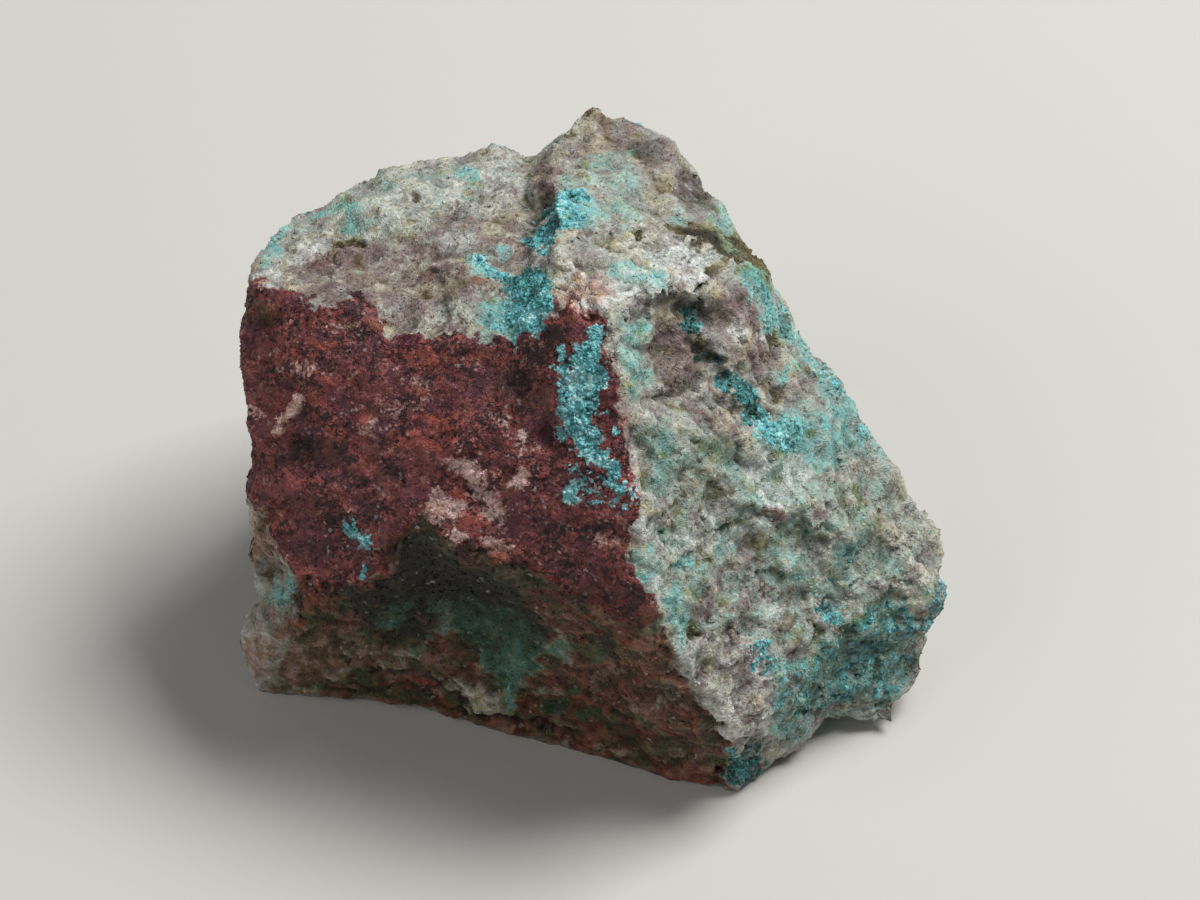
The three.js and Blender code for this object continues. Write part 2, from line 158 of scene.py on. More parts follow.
def shards(points: np.ndarray, period: float, seed: int) -> tuple[np.ndarray, np.ndarray]:
    """Splits space into shards, each cut off by a plane of its own tilt.

    Args:
        points: One row of x, y, z for each point, in millimetres.
        period: Size of a shard, in millimetres.
        seed: Picks another set of shards.

    Returns:
        The height of each point's tilted plane, about -1 to 1, and how close the point is to the
        border of its shard, from 0 inside to 1 on the border.
    """
    places = points / period + SHARD_STEP * seed
    heights = np.empty(len(places))
    borders = np.empty(len(places))
    border_wide = 0.25
    tilt_step = 91.7
    for index, place in enumerate(places.tolist()):
        distances, middles = noise.voronoi(place)
        middle = middles[0]
        tilt = noise.cell_vector(middle * tilt_step) * 2.0 - Vector((1.0, 1.0, 1.0))
        heights[index] = (Vector(place) - middle).dot(tilt)
        borders[index] = 1.0 - min(1.0, (distances[1] - distances[0]) / border_wide)
    return heights, borders


@dataclass(frozen=True)
class PhotoView:
    """The photograph's view of the chunk, in millimetres and in the photograph's pixels."""

    image_wide_px: float = 1200.0
    image_high_px: float = 900.0
    px_per_mm: float = 20.0
    eye_distance: float = 240.0
    look_down_deg: float = 50.0
    middle: tuple[float, float, float] = (0.3755, -3.2668, 14.3)
    sensor_wide: float = 36.0
    clip_start_m: float = 0.01
    clip_end_m: float = 10.0

    def axes(self) -> tuple[np.ndarray, np.ndarray, np.ndarray]:
        """Works out the view's own directions.

        Returns:
            The directions right, up and toward the eye, each 1 long.
        """
        tilt = math.radians(self.look_down_deg)
        up = np.array([0.0, math.sin(tilt), math.cos(tilt)])
        toward = np.array([0.0, -math.cos(tilt), math.sin(tilt)])
        return np.array([1.0, 0.0, 0.0]), up, toward

    def places(self, points: np.ndarray) -> np.ndarray:
        """Finds where points of the chunk lie in the photograph.

        Args:
            points: One row of x, y, z for each point, in millimetres.

        Returns:
            One row of pixels right and down for each point.
        """
        right, up, toward = self.axes()
        offsets = points - np.array(self.middle)
        scale = self.px_per_mm * self.eye_distance / (self.eye_distance - offsets @ toward)
        across = self.image_wide_px / 2 + offsets @ right * scale
        down = self.image_high_px / 2 - offsets @ up * scale
        return np.column_stack((across, down))

    def facing(self, normals: np.ndarray) -> np.ndarray:
        """Tells how squarely faces look at the eye, from -1 to 1."""
        return normals @ self.axes()[2]

    def add_camera(self) -> bpy.types.Object:
        """Makes the scene's camera at the photograph's place and angle.

        Returns:
            The camera's object.
        """
        data = bpy.data.cameras.new("photo_camera")
        data.sensor_width = self.sensor_wide
        data.lens = self.px_per_mm * self.eye_distance / self.image_wide_px * self.sensor_wide
        data.clip_start = self.clip_start_m
        data.clip_end = self.clip_end_m
        camera = bpy.data.objects.new("photo_camera", data)
        toward = Vector(self.axes()[2])
        camera.location = (Vector(self.middle) + toward * self.eye_distance) * MM
        camera.rotation_euler = (math.radians(90.0 - self.look_down_deg), 0.0, 0.0)
        bpy.context.scene.collection.objects.link(camera)
        bpy.context.scene.camera = camera
        return camera


class Zone(Enum):
    """What can lie on or show in the rock; each value names a number kept on the mesh."""

    PLUM = "plum_stain"
    AJOITE = "ajoite_cover"
    # The deep ajoite tone, also painted shade on the walls of hollows and under ledges.
    DEEP_AND_SHADE = "ajoite_deep_and_painted_shade"
    # Pale quartz, also painted light on the white ledge's top and on the lower left lobe.
    PALE_AND_PAINTED_LIGHT = "pale_quartz_and_painted_light"
    MAUVE = "mauve_quartz"
    OLIVE = "olive_stain"
    # Rust stain, also painted warm light on the lower left lobe.
    RUST_AND_WARM_LIGHT = "rust_stain_and_warm_light"
    # Dark stains, and painted shade in hollows, pits, cracks and under ledges.
    DARK_STAIN_AND_SHADE = "dark_stain_and_painted_shade"
    # Umber soil, also painted shade on the lower facet, which faces away from the light.
    UMBER_AND_SHADE = "umber_soil_and_painted_shade"
    WASH = "aqua_wash"
    RUGGED = "rugged_break"
    DENT = "dent"
    SWELL = "swell"


@dataclass(frozen=True)
class Patch:
    """A closed outline in the photograph, in pixels."""

    outline: Outline
    soft: float = 8.0

    def box(self) -> tuple[np.ndarray, np.ndarray]:
        """Gives the corners of the box outside which the share is 0."""
        corners = np.array(self.outline, dtype=float)
        return corners.min(axis=0) - self.soft, corners.max(axis=0) + self.soft

    def share(self, places: np.ndarray) -> np.ndarray:
        """Works out how much of the area lies at some places.

        Args:
            places: One row of pixels right and down for each place.

        Returns:
            1 well inside the outline and 0 well outside it.
        """
        nearest = np.full(len(places), FAR)
        inside = np.zeros(len(places), dtype=bool)
        corners = np.array(self.outline, dtype=float)
        for start, end in zip(corners, np.roll(corners, -1, axis=0)):
            nearest = np.minimum(nearest, distance_to_line(places, start, end))
            crosses = (start[1] > places[:, 1]) != (end[1] > places[:, 1])
            rise = end[1] - start[1] if end[1] != start[1] else TINY
            reach = start[0] + (places[:, 1] - start[1]) * (end[0] - start[0]) / rise
            inside ^= crosses & (places[:, 0] < reach)
        return ease(-self.soft, self.soft, np.where(inside, nearest, -nearest))


@dataclass(frozen=True)
class Dab:
    """A soft oval in the photograph, in pixels, turned anticlockwise by some degrees."""

    across: float
    down: float
    half_wide: float
    half_high: float
    turn_deg: float = 0.0
    full_within: float = 0.4
    gone_beyond: float = 1.35

    def box(self) -> tuple[np.ndarray, np.ndarray]:
        """Gives the corners of the box outside which the share is 0."""
        reach = self.gone_beyond * max(self.half_wide, self.half_high)
        middle = np.array((self.across, self.down))
        return middle - reach, middle + reach

    def share(self, places: np.ndarray) -> np.ndarray:
        """Works out how much of the oval lies at some places.

        Args:
            places: One row of pixels right and down for each place.

        Returns:
            1 in the oval's middle and 0 a little outside it.
        """
        turn = math.radians(self.turn_deg)
        offsets = places - np.array((self.across, self.down))
        along = offsets[:, 0] * math.cos(turn) - offsets[:, 1] * math.sin(turn)
        aside = offsets[:, 0] * math.sin(turn) + offsets[:, 1] * math.cos(turn)
        reach = np.hypot(along / self.half_wide, aside / self.half_high)
        return ease(self.gone_beyond, self.full_within, reach)


@dataclass(frozen=True)
class Stroke:
    """A line in the photograph, in pixels, such as a crack, a vein or an edge."""

    path: Outline
    half_wide: float = 3.0
    full_within: float = 0.4
    gone_beyond: float = 1.6

    def box(self) -> tuple[np.ndarray, np.ndarray]:
        """Gives the corners of the box outside which the share is 0."""
        corners = np.array(self.path, dtype=float)
        reach = self.gone_beyond * self.half_wide
        return corners.min(axis=0) - reach, corners.max(axis=0) + reach

    def share(self, places: np.ndarray) -> np.ndarray:
        """Works out how much of the line lies at some places.

        Args:
            places: One row of pixels right and down for each place.

        Returns:
            1 on the line and 0 a little beside it.
        """
        corners = np.array(self.path, dtype=float)
        nearest = np.full(len(places), FAR)
        for start, end in zip(corners[:-1], corners[1:]):
            nearest = np.minimum(nearest, distance_to_line(places, start, end))
        return ease(self.gone_beyond, self.full_within, nearest / self.half_wide)


def distance_to_line(places: np.ndarray, start: np.ndarray, end: np.ndarray) -> np.ndarray:
    """Measures how far places lie from a straight stretch.

    Args:
        places: One row of pixels right and down for each place.
        start: One end of the stretch.
        end: Its other end.

    Returns:
        One distance for each place, in pixels.
    """
    run = end - start
    share = np.clip((places - start) @ run / max(run @ run, TINY), 0.0, 1.0)
    return np.linalg.norm(places - start - share[:, None] * run, axis=1)


@dataclass(frozen=True)
class Mark:
    """Puts a zone on part of the view; a strength below 0 clears what earlier marks put there."""

    zone: Zone
    shape: Patch | Dab | Stroke
    strength: float = 1.0

    def put(self, shares: np.ndarray, places: np.ndarray) -> None:
        """Puts the mark among the shares of its zone.

        Args:
            shares: The zone's share at each place, which is changed.
            places: One row of pixels right and down for each place.
        """
        low, high = self.shape.box()
        near = np.flatnonzero(((places > low) & (places < high)).all(axis=1))
        share = self.shape.share(places[near]) * abs(self.strength)
        if self.strength > 0.0:
            shares[near] = np.maximum(shares[near], share)
        else:
            shares[near] *= 1.0 - share


def patches(zone: Zone, strength: float, soft: float, *outlines: Outline) -> tuple[Mark, ...]:
    """Marks the areas inside closed outlines, with soft edges.

    Args:
        zone: What lies there.
        strength: How much of it, below 0 to clear it.
        soft: How far the edge fades, in pixels to either side.
        *outlines: The closed outlines.

    Returns:
        One mark for each outline.
    """
    return tuple(Mark(zone, Patch(outline, soft), strength) for outline in outlines)


def dabs(zone: Zone, strength: float, *ovals: tuple[float, ...]) -> tuple[Mark, ...]:
    """Marks soft ovals.

    Args:
        zone: What lies there.
        strength: How much of it, below 0 to clear it.
        *ovals: Each one's middle, half width and half height, and its turn where it has one.

    Returns:
        One mark for each oval.
    """
    return tuple(Mark(zone, Dab(*oval), strength) for oval in ovals)


def lines(zone: Zone, strength: float, half_wide: float, *paths: Outline) -> tuple[Mark, ...]:
    """Marks soft lines.

    Args:
        zone: What lies there.
        strength: How much of it, below 0 to clear it.
        half_wide: Half the width of a line, in pixels.
        *paths: The points that each line runs through.

    Returns:
        One mark for each line.
    """
    return tuple(Mark(zone, Stroke(path, half_wide), strength) for path in paths)


def layered(shape: Patch | Dab | Stroke, *strengths: tuple[Zone, float]) -> tuple[Mark, ...]:
    """Marks several zones on one shape.

    Args:
        shape: Where they lie.
        *strengths: Each zone with its strength.

    Returns:
        One mark for each zone.
    """
    return tuple(Mark(zone, shape, strength) for zone, strength in strengths)


# Outlines of the larger areas, in pixels of the photograph, 20 to a millimetre on the chunk.
PLUM_FACE = Patch(
    (
        (236, 284), (262, 281), (286, 287), (302, 299), (322, 304), (336, 299), (352, 291),
        (378, 304), (388, 320), (386, 336), (430, 333), (470, 339), (500, 343), (522, 334),
        (545, 318), (572, 308), (600, 312), (608, 340), (611, 370), (617, 400), (621, 430),
        (626, 460), (633, 480), (641, 500), (644, 515), (633, 540), (629, 560), (641, 575),
        (651, 600), (664, 626), (640, 632), (615, 618), (590, 604), (560, 590), (530, 575),
        (505, 566), (482, 560), (462, 551), (442, 539), (422, 531), (402, 536), (395, 556),
        (382, 572), (362, 582), (340, 592), (318, 600), (300, 582), (285, 568), (272, 545),
        (262, 520), (245, 500), (228, 400),
    ),
    soft=5.0,
)
AJOITE_STRIP = Patch(
    (
        (558, 347), (574, 345), (584, 326), (600, 326), (606, 350), (603, 380), (598, 410),
        (600, 440), (612, 456), (628, 478), (630, 492), (616, 490), (598, 470), (584, 462),
        (570, 448), (562, 430), (557, 415), (561, 395), (557, 370),
    ),
    soft=9.0,
)
LOWER_FACET = Patch(
    (
        (292, 580), (318, 592), (340, 584), (360, 574), (376, 564), (388, 548), (396, 528),
        (422, 521), (446, 529), (466, 541), (486, 550), (508, 556), (534, 565), (564, 580),
        (594, 594), (618, 608), (642, 622), (662, 619), (674, 660), (690, 685), (708, 710),
        (726, 738), (722, 800), (640, 790), (540, 760), (440, 735), (380, 712), (300, 700),
        (270, 690), (290, 640),
    ),
    soft=7.0,
)
DARK_HOLLOW = Patch(
    (
        (345, 590), (385, 575), (405, 545), (430, 540), (470, 562), (520, 585), (545, 620),
        (548, 650), (520, 665), (490, 650), (470, 625), (430, 628), (400, 640), (370, 635),
        (345, 615),
    ),
    soft=12.0,
)
TEAL_TAIL = Patch(
    (
        (430, 600), (470, 605), (515, 610), (545, 640), (538, 672), (520, 690), (514, 708),
        (502, 708), (498, 690), (484, 676), (478, 650), (462, 632), (430, 628),
    ),
    soft=7.0,
)
MAUVE_BAND = Patch(
    (
        (285, 265), (330, 240), (380, 235), (430, 215), (500, 205), (535, 215), (545, 245),
        (500, 262), (470, 285), (440, 305), (470, 335), (430, 332), (390, 325), (375, 300),
        (330, 300), (290, 285),
    ),
    soft=14.0,
)
PANEL = Patch(
    ((655, 318), (672, 312), (690, 330), (704, 352), (700, 378), (680, 392), (660, 380), (654, 350)),
    soft=7.0,
)
WHITE_LEDGE = Patch(
    (
        (598, 296), (610, 272), (640, 262), (665, 246), (690, 244), (712, 256), (716, 276),
        (700, 292), (660, 292), (630, 302),
    ),
    soft=6.0,
)
PINKISH_PANEL = Patch(
    ((690, 640), (735, 628), (768, 645), (772, 690), (762, 735), (722, 738), (705, 700)),
    soft=9.0,
)
TEAL_FLANK = Patch(
    (
        (820, 640), (850, 610), (890, 596), (925, 612), (922, 660), (900, 700), (850, 715),
        (800, 730), (780, 712), (800, 670),
    ),
    soft=14.0,
)
DRAB_PATCH = Patch(((680, 478), (740, 480), (735, 515), (690, 522)), soft=10.0)
LOWER_FLAKE = Patch(((440, 686), (455, 680), (480, 686), (500, 702), (492, 713), (466, 708)), soft=6.0)
PANEL_CRACKS: tuple[Outline, ...] = (
    ((655, 402), (668, 396), (682, 386), (700, 384)),
    ((700, 399), (730, 404)),
)

# How the break itself goes: rugged areas, cracks and pits, lumps and flakes.
BREAK_MARKS: tuple[Mark, ...] = (
    *patches(
        Zone.RUGGED, 1.0, 30.0,
        ((600, 320), (720, 250), (800, 330), (900, 480), (950, 600), (900, 740), (720, 780), (650, 560)),
    ),
    *patches(
        Zone.RUGGED, 0.8, 20.0,
        ((540, 200), (600, 230), (720, 240), (700, 300), (560, 330), (500, 340), (490, 250)),
    ),
    *lines(Zone.DENT, 0.3, 8.0, ((650, 303), (675, 306), (702, 312)), ((688, 330), (696, 342), (709, 360))),
    *lines(Zone.DENT, 0.6, 7.0, *PANEL_CRACKS),
    *lines(Zone.DENT, 0.8, 9.0, ((552, 196), (543, 214), (538, 232), (546, 250))),
    *lines(Zone.DENT, 0.6, 6.0, ((352, 685), (370, 673), (412, 670), (440, 680), (461, 705), (482, 719))),
    *lines(Zone.DENT, 0.6, 6.0, ((482, 719), (503, 721), (532, 726), (570, 742))),
    *lines(Zone.DENT, 0.5, 8.0, ((640, 440), (645, 470), (655, 492))),
    *lines(Zone.DENT, 0.4, 7.0, ((330, 648), (372, 655), (410, 648), (432, 652)), ((600, 640), (650, 700))),
    *dabs(Zone.DENT, 0.6, (672, 290, 6, 5), (697, 289, 6, 5), (706, 272, 6, 5), (697, 636, 8, 8)),
    *dabs(Zone.DENT, 0.6, (768, 520, 24, 9, -20), (884, 545, 20, 12), (779, 388, 15, 8), (515, 385, 16, 9)),
    *dabs(Zone.DENT, 0.5, (552, 440, 12, 14), (395, 478, 14, 8), (300, 452, 18, 8, 10), (275, 320, 14, 8)),
    *dabs(Zone.DENT, 0.5, (640, 229, 10, 7), (417, 196, 8, 6), (347, 244, 12, 8), (816, 632, 10, 8)),
    *dabs(Zone.SWELL, 0.6, (467, 288, 20, 17), (450, 652, 20, 24, 20), (703, 598, 14, 20)),
    *dabs(Zone.SWELL, 0.6, (565, 300, 9, 8), (582, 290, 9, 7), (601, 305, 10, 8), (577, 313, 10, 6)),
    *dabs(Zone.SWELL, 0.5, (596, 276, 8, 8), (475, 478, 18, 8, -12), (285, 412, 9, 24, -38)),
    Mark(Zone.SWELL, LOWER_FLAKE, 0.6),
)

# The pale crown above the plum face: mauve in its middle, filmed with ajoite along its rim.
CROWN_MARKS: tuple[Mark, ...] = (
    Mark(Zone.MAUVE, MAUVE_BAND, 0.55),
    *dabs(Zone.MAUVE, -0.7, (455, 240, 30, 14)),
    *dabs(Zone.PALE_AND_PAINTED_LIGHT, 0.45, (455, 240, 26, 10)),
    *patches(
        Zone.WASH, 0.35, 24.0,
        ((262, 262), (300, 205), (380, 165), (480, 150), (530, 170), (520, 200), (420, 225), (320, 245)),
    ),
    *patches(
        Zone.PALE_AND_PAINTED_LIGHT, 0.3, 14.0,
        ((300, 235), (360, 190), (430, 160), (520, 150), (540, 200), (430, 222), (350, 240)),
    ),
    *lines(Zone.PALE_AND_PAINTED_LIGHT, 0.6, 10.0, ((262, 282), (285, 268), (310, 246))),
    *dabs(Zone.WASH, 0.95, (274, 240, 14, 24, -30), (352, 214, 18, 20, 30), (468, 172, 18, 12, 20)),
    *dabs(Zone.WASH, 0.8, (510, 187, 10, 8), (385, 188, 9, 6), (262, 266, 8, 12), (320, 214, 16, 10)),
    *dabs(Zone.WASH, 0.5, (440, 238, 14, 10), (300, 205, 16, 10), (370, 176, 16, 8), (470, 250, 14, 10)),
    *dabs(Zone.AJOITE, 0.5, (272, 238, 9, 14, -30), (465, 170, 8, 6)),
    *dabs(Zone.OLIVE, 0.9, (417, 196, 8, 6), (347, 244, 12, 8), (405, 222, 6, 4), (425, 292, 8, 6)),
    *dabs(Zone.OLIVE, 0.7, (278, 238, 6, 4), (333, 252, 6, 5), (443, 160, 6, 4), (380, 282, 6, 5)),
    *dabs(
        Zone.OLIVE, 0.6,
        (318, 226, 7, 4), (372, 208, 6, 4), (482, 196, 7, 5), (500, 222, 6, 5), (356, 262, 8, 5),
    ),
    *dabs(Zone.UMBER_AND_SHADE, 0.5, (467, 288, 18, 15), (325, 264, 18, 12), (420, 276, 12, 8), (545, 195, 14, 12)),
    *dabs(Zone.MAUVE, 0.9, (467, 288, 20, 16), (325, 264, 18, 12), (540, 175, 20, 16), (460, 204, 18, 8)),
)

# The flat plum face: black and rusty mottles, bare pale chips, and the ajoite strip by its edge.
# The black is partly painted shade in its pits and toward its lower edge.
PLUM_FACE_MARKS: tuple[Mark, ...] = (
    Mark(Zone.PLUM, PLUM_FACE, 1.0),
    *dabs(Zone.OLIVE, 0.5, (262, 312, 24, 13), (345, 325, 14, 8), (372, 322, 14, 8)),
    *dabs(
        Zone.DARK_STAIN_AND_SHADE, 0.5,
        (266, 316, 26, 12), (518, 388, 40, 28), (305, 455, 40, 16, 10), (385, 474, 16, 10),
    ),
    *dabs(
        Zone.DARK_STAIN_AND_SHADE, 0.4,
        (556, 432, 18, 32), (600, 592, 60, 24, -28), (262, 378, 16, 26), (450, 350, 24, 10),
    ),
    *dabs(Zone.DARK_STAIN_AND_SHADE, 0.3, (330, 500, 40, 16), (560, 350, 24, 14), (570, 530, 40, 16), (300, 540, 24, 16)),
    *dabs(Zone.RUST_AND_WARM_LIGHT, 0.45, (300, 395, 46, 32), (420, 352, 60, 16), (350, 430, 24, 20), (300, 318, 36, 10)),
    *dabs(Zone.RUST_AND_WARM_LIGHT, 0.9, (462, 508, 14, 16)),
    *dabs(
        Zone.RUST_AND_WARM_LIGHT, 0.65,
        (440, 430, 50, 22), (470, 500, 36, 40, 20), (420, 345, 30, 8), (300, 352, 30, 10),
    ),
    *dabs(Zone.PALE_AND_PAINTED_LIGHT, 1.25, (285, 412, 10, 26, -38), (470, 477, 19, 10, -12), (456, 536, 14, 9, 30)),
    *dabs(
        Zone.PALE_AND_PAINTED_LIGHT, 1.05,
        (446, 508, 22, 15), (492, 552, 18, 9, -20), (524, 446, 9, 11), (525, 474, 14, 8, 20),
    ),
    *patches(
        Zone.PALE_AND_PAINTED_LIGHT, 1.15, 12.0,
        ((446, 462), (472, 464), (492, 482), (508, 505), (506, 528), (490, 528), (480, 503), (458, 484)),
    ),
    *dabs(Zone.PALE_AND_PAINTED_LIGHT, 1.0, (492, 512, 16, 14), (436, 500, 14, 10)),
    *dabs(Zone.PALE_AND_PAINTED_LIGHT, 0.85, (255, 411, 10, 8), (496, 505, 18, 17), (430, 522, 16, 8), (345, 412, 14, 6, 20)),
    *dabs(Zone.PALE_AND_PAINTED_LIGHT, 0.55, (500, 418, 14, 7), (365, 428, 18, 12), (395, 412, 18, 7), (610, 540, 16, 9)),
    *dabs(
        Zone.PALE_AND_PAINTED_LIGHT, 0.45,
        (340, 330, 24, 7), (400, 402, 34, 12), (300, 372, 20, 8), (280, 346, 20, 8), (420, 384, 14, 6),
        (625, 525, 10, 14),
    ),
    *dabs(Zone.AJOITE, 0.9, (351, 527, 10, 11), (363, 542, 7, 8), (362, 568, 7, 8)),
    *dabs(Zone.WASH, 0.6, (319, 432, 8, 8)),
    *lines(Zone.PALE_AND_PAINTED_LIGHT, 0.7, 4.0, ((352, 582), (368, 580), (386, 572))),
    Mark(Zone.AJOITE, AJOITE_STRIP, 0.85),
    *dabs(Zone.AJOITE, 0.95, (588, 362, 16, 24), (580, 418, 14, 18), (606, 462, 11, 16, 30)),
    *dabs(Zone.AJOITE, 0.8, (570, 489, 10, 11), (612, 428, 6, 8), (610, 412, 4, 4)),
    *patches(
        Zone.AJOITE, 0.44, 10.0,
        ((562, 462), (600, 468), (634, 486), (640, 508), (600, 512), (566, 500)),
    ),
    *dabs(Zone.DARK_STAIN_AND_SHADE, 0.35, (562, 400, 6, 12), (566, 360, 5, 10)),
)

# The crumbled, pinkish hinge where the plum face, the ledge and the right face meet.
HINGE_MARKS: tuple[Mark, ...] = (
    *patches(Zone.RUST_AND_WARM_LIGHT, 0.7, 8.0, ((560, 265), (590, 268), (622, 290), (604, 312), (572, 318), (556, 300))),
    *dabs(Zone.PLUM, 0.55, (560, 302, 10, 8), (574, 280, 8, 4), (588, 316, 18, 9), (556, 322, 12, 8)),
    *dabs(
        Zone.PALE_AND_PAINTED_LIGHT, 1.2,
        (568, 272, 12, 6), (606, 300, 22, 11, 10), (585, 309, 15, 6, 20), (572, 291, 10, 5),
        (592, 284, 10, 5),
    ),
    *dabs(Zone.DENT, 0.7, (570, 300, 5, 5), (590, 296, 6, 4), (586, 318, 6, 4), (562, 286, 5, 4)),
    *lines(Zone.MAUVE, 0.5, 5.0, ((614, 330), (620, 380), (626, 430), (634, 465), (642, 500))),
    *lines(Zone.PALE_AND_PAINTED_LIGHT, 0.45, 7.0, ((616, 340), (620, 380)), ((632, 455), (642, 500))),
    *lines(Zone.RUST_AND_WARM_LIGHT, 0.5, 5.0, ((612, 345), (618, 400), (624, 440), (634, 480))),
)

# The ajoite pocket in the notch between the crown and the peak, and the seam above it. The
# pocket's upper wall is deep teal and the gully dark, as painted shade.
POCKET_MARKS: tuple[Mark, ...] = (
    *patches(
        Zone.AJOITE, 1.15, 7.0,
        ((494, 272), (522, 268), (549, 270), (554, 292), (545, 318), (506, 294)),
    ),
    *patches(
        Zone.DEEP_AND_SHADE, 0.65, 8.0,
        ((498, 274), (522, 270), (548, 274), (552, 288), (540, 303), (510, 294)),
    ),
    *patches(Zone.WASH, 1.0, 9.0, ((482, 300), (510, 296), (545, 310), (538, 330), (508, 346), (484, 332))),
    *patches(Zone.AJOITE, 0.9, 8.0, ((500, 314), (530, 304), (546, 314), (532, 332), (510, 340))),
    *patches(Zone.DEEP_AND_SHADE, -1.0, 6.0, ((490, 318), (530, 306), (550, 312), (534, 336), (506, 346))),
    *dabs(Zone.AJOITE, 0.65, (482, 262, 14, 10), (494, 272, 10, 8)),
    *dabs(Zone.WASH, 0.8, (476, 262, 18, 14), (500, 250, 14, 8)),
    *dabs(Zone.OLIVE, 0.95, (490, 306, 7, 7)),
    *dabs(Zone.AJOITE, 0.85, (570, 202, 22, 20, -20)),
    *lines(Zone.AJOITE, 1.05, 9.0, ((551, 210), (545, 224), (535, 244))),
    *dabs(Zone.WASH, 0.9, (488, 322, 16, 20), (488, 272, 16, 14)),
    *dabs(Zone.AJOITE, 0.75, (488, 268, 13, 8, -30), (494, 328, 12, 10)),
    *dabs(Zone.PALE_AND_PAINTED_LIGHT, 0.6, (486, 266, 14, 8)),
    *dabs(Zone.WASH, 0.95, (572, 204, 30, 26, -20), (600, 214, 22, 14)),
    *dabs(Zone.DEEP_AND_SHADE, 0.7, (547, 222, 12, 14, -30), (531, 246, 8, 6)),
    *dabs(Zone.DARK_STAIN_AND_SHADE, 0.5, (546, 214, 8, 8), (540, 234, 6, 5)),
    *dabs(Zone.PALE_AND_PAINTED_LIGHT, 0.6, (500, 316, 12, 10), (515, 325, 10, 6)),
)

# The peak: mauve quartz with aqua films, olive pits and an olive seam behind the ledge.
PEAK_MARKS: tuple[Mark, ...] = (
    *patches(
        Zone.MAUVE, 0.45, 14.0,
        ((560, 150), (600, 110), (640, 120), (690, 175), (730, 235), (690, 215), (640, 170), (590, 160)),
    ),
    *patches(Zone.WASH, 0.6, 16.0, ((575, 160), (640, 150), (650, 205), (620, 230), (585, 220))),
    *dabs(
        Zone.WASH, 0.7,
        (680, 213, 12, 12), (730, 225, 20, 34, 30), (552, 138, 9, 13, -30), (600, 160, 12, 8),
    ),
    *dabs(Zone.AJOITE, 0.35, (680, 212, 8, 9), (735, 232, 8, 14, 30)),
    *patches(Zone.PALE_AND_PAINTED_LIGHT, 0.4, 10.0, ((585, 222), (640, 218), (660, 245), (610, 262), (590, 255))),
    *patches(Zone.OLIVE, 0.35, 10.0, ((585, 222), (640, 218), (655, 245), (610, 258), (590, 250))),
    *dabs(Zone.OLIVE, 0.85, (592, 112, 10, 8), (566, 138, 6, 13, -40), (604, 137, 6, 5), (642, 229, 10, 6)),
    *dabs(Zone.OLIVE, 0.6, (582, 168, 8, 6), (615, 150, 6, 5), (640, 152, 6, 5), (662, 180, 7, 5)),
    *lines(Zone.OLIVE, 1.1, 9.0, ((676, 230), (702, 236), (722, 244), (748, 252), (770, 275))),
    *lines(Zone.DARK_STAIN_AND_SHADE, 0.8, 6.0, ((682, 232), (705, 240), (730, 248))),
    *dabs(Zone.DARK_STAIN_AND_SHADE, 0.6, (700, 190, 30, 24, -40), (650, 150, 24, 12, -30)),
    *dabs(Zone.OLIVE, 0.45, (612, 120, 16, 12), (640, 135, 12, 8), (690, 165, 12, 8), (712, 205, 12, 8)),
)

# The white ledge, the dark cleft under it, and the mauve panel below. The ledge's top is pale
# partly as painted light, and the cleft, pits and cracks are dark with painted shade.
LEDGE_MARKS: tuple[Mark, ...] = (
    Mark(Zone.PALE_AND_PAINTED_LIGHT, WHITE_LEDGE, 0.7),
    *patches(Zone.WASH, 0.9, 9.0, ((604, 264), (626, 258), (668, 268), (676, 284), (640, 290), (610, 288))),
    *dabs(Zone.AJOITE, 0.45, (618, 268, 9, 12), (650, 272, 10, 6)),
    *dabs(Zone.MAUVE, 0.7, (684, 264, 16, 10), (700, 278, 12, 8)),
    *dabs(Zone.DARK_STAIN_AND_SHADE, 0.7, (672, 290, 6, 5), (697, 289, 6, 5), (707, 270, 6, 5), (692, 250, 5, 4)),
    *dabs(Zone.OLIVE, 0.8, (712, 268, 9, 7), (747, 271, 10, 7), (728, 258, 8, 5)),
    *lines(Zone.DARK_STAIN_AND_SHADE, 0.5, 8.0, ((650, 303), (675, 306), (700, 312))),
    *dabs(Zone.AJOITE, 0.85, (690, 322, 12, 10)),
    *dabs(Zone.DEEP_AND_SHADE, 0.9, (690, 321, 15, 12), (709, 357, 13, 13)),
    *lines(Zone.DARK_STAIN_AND_SHADE, 0.85, 6.0, ((689, 332), (699, 347))),
    *dabs(Zone.DARK_STAIN_AND_SHADE, 0.7, (709, 357, 11, 11)),
    *dabs(Zone.AJOITE, 0.6, (709, 357, 12, 12)),
    *dabs(Zone.OLIVE, 0.5, (717, 355, 9, 10), (700, 340, 6, 8)),
    *layered(PANEL, (Zone.MAUVE, 1.0), (Zone.DARK_STAIN_AND_SHADE, 0.3)),
    *dabs(Zone.OLIVE, 0.4, (660, 332, 6, 16), (672, 318, 12, 6)),
    *lines(Zone.DARK_STAIN_AND_SHADE, 0.6, 5.0, *PANEL_CRACKS),
    *dabs(Zone.OLIVE, 0.6, (678, 408, 14, 7), (665, 392, 6, 6)),
    *dabs(Zone.RUST_AND_WARM_LIGHT, 0.5, (672, 405, 12, 8), (715, 392, 14, 8)),
    *patches(
        Zone.MAUVE, 0.8, 10.0,
        ((715, 300), (745, 290), (770, 320), (790, 350), (760, 372), (728, 350)),
    ),
    *patches(Zone.PALE_AND_PAINTED_LIGHT, 0.3, 8.0, ((618, 302), (648, 302), (652, 330), (640, 340), (620, 334))),
)

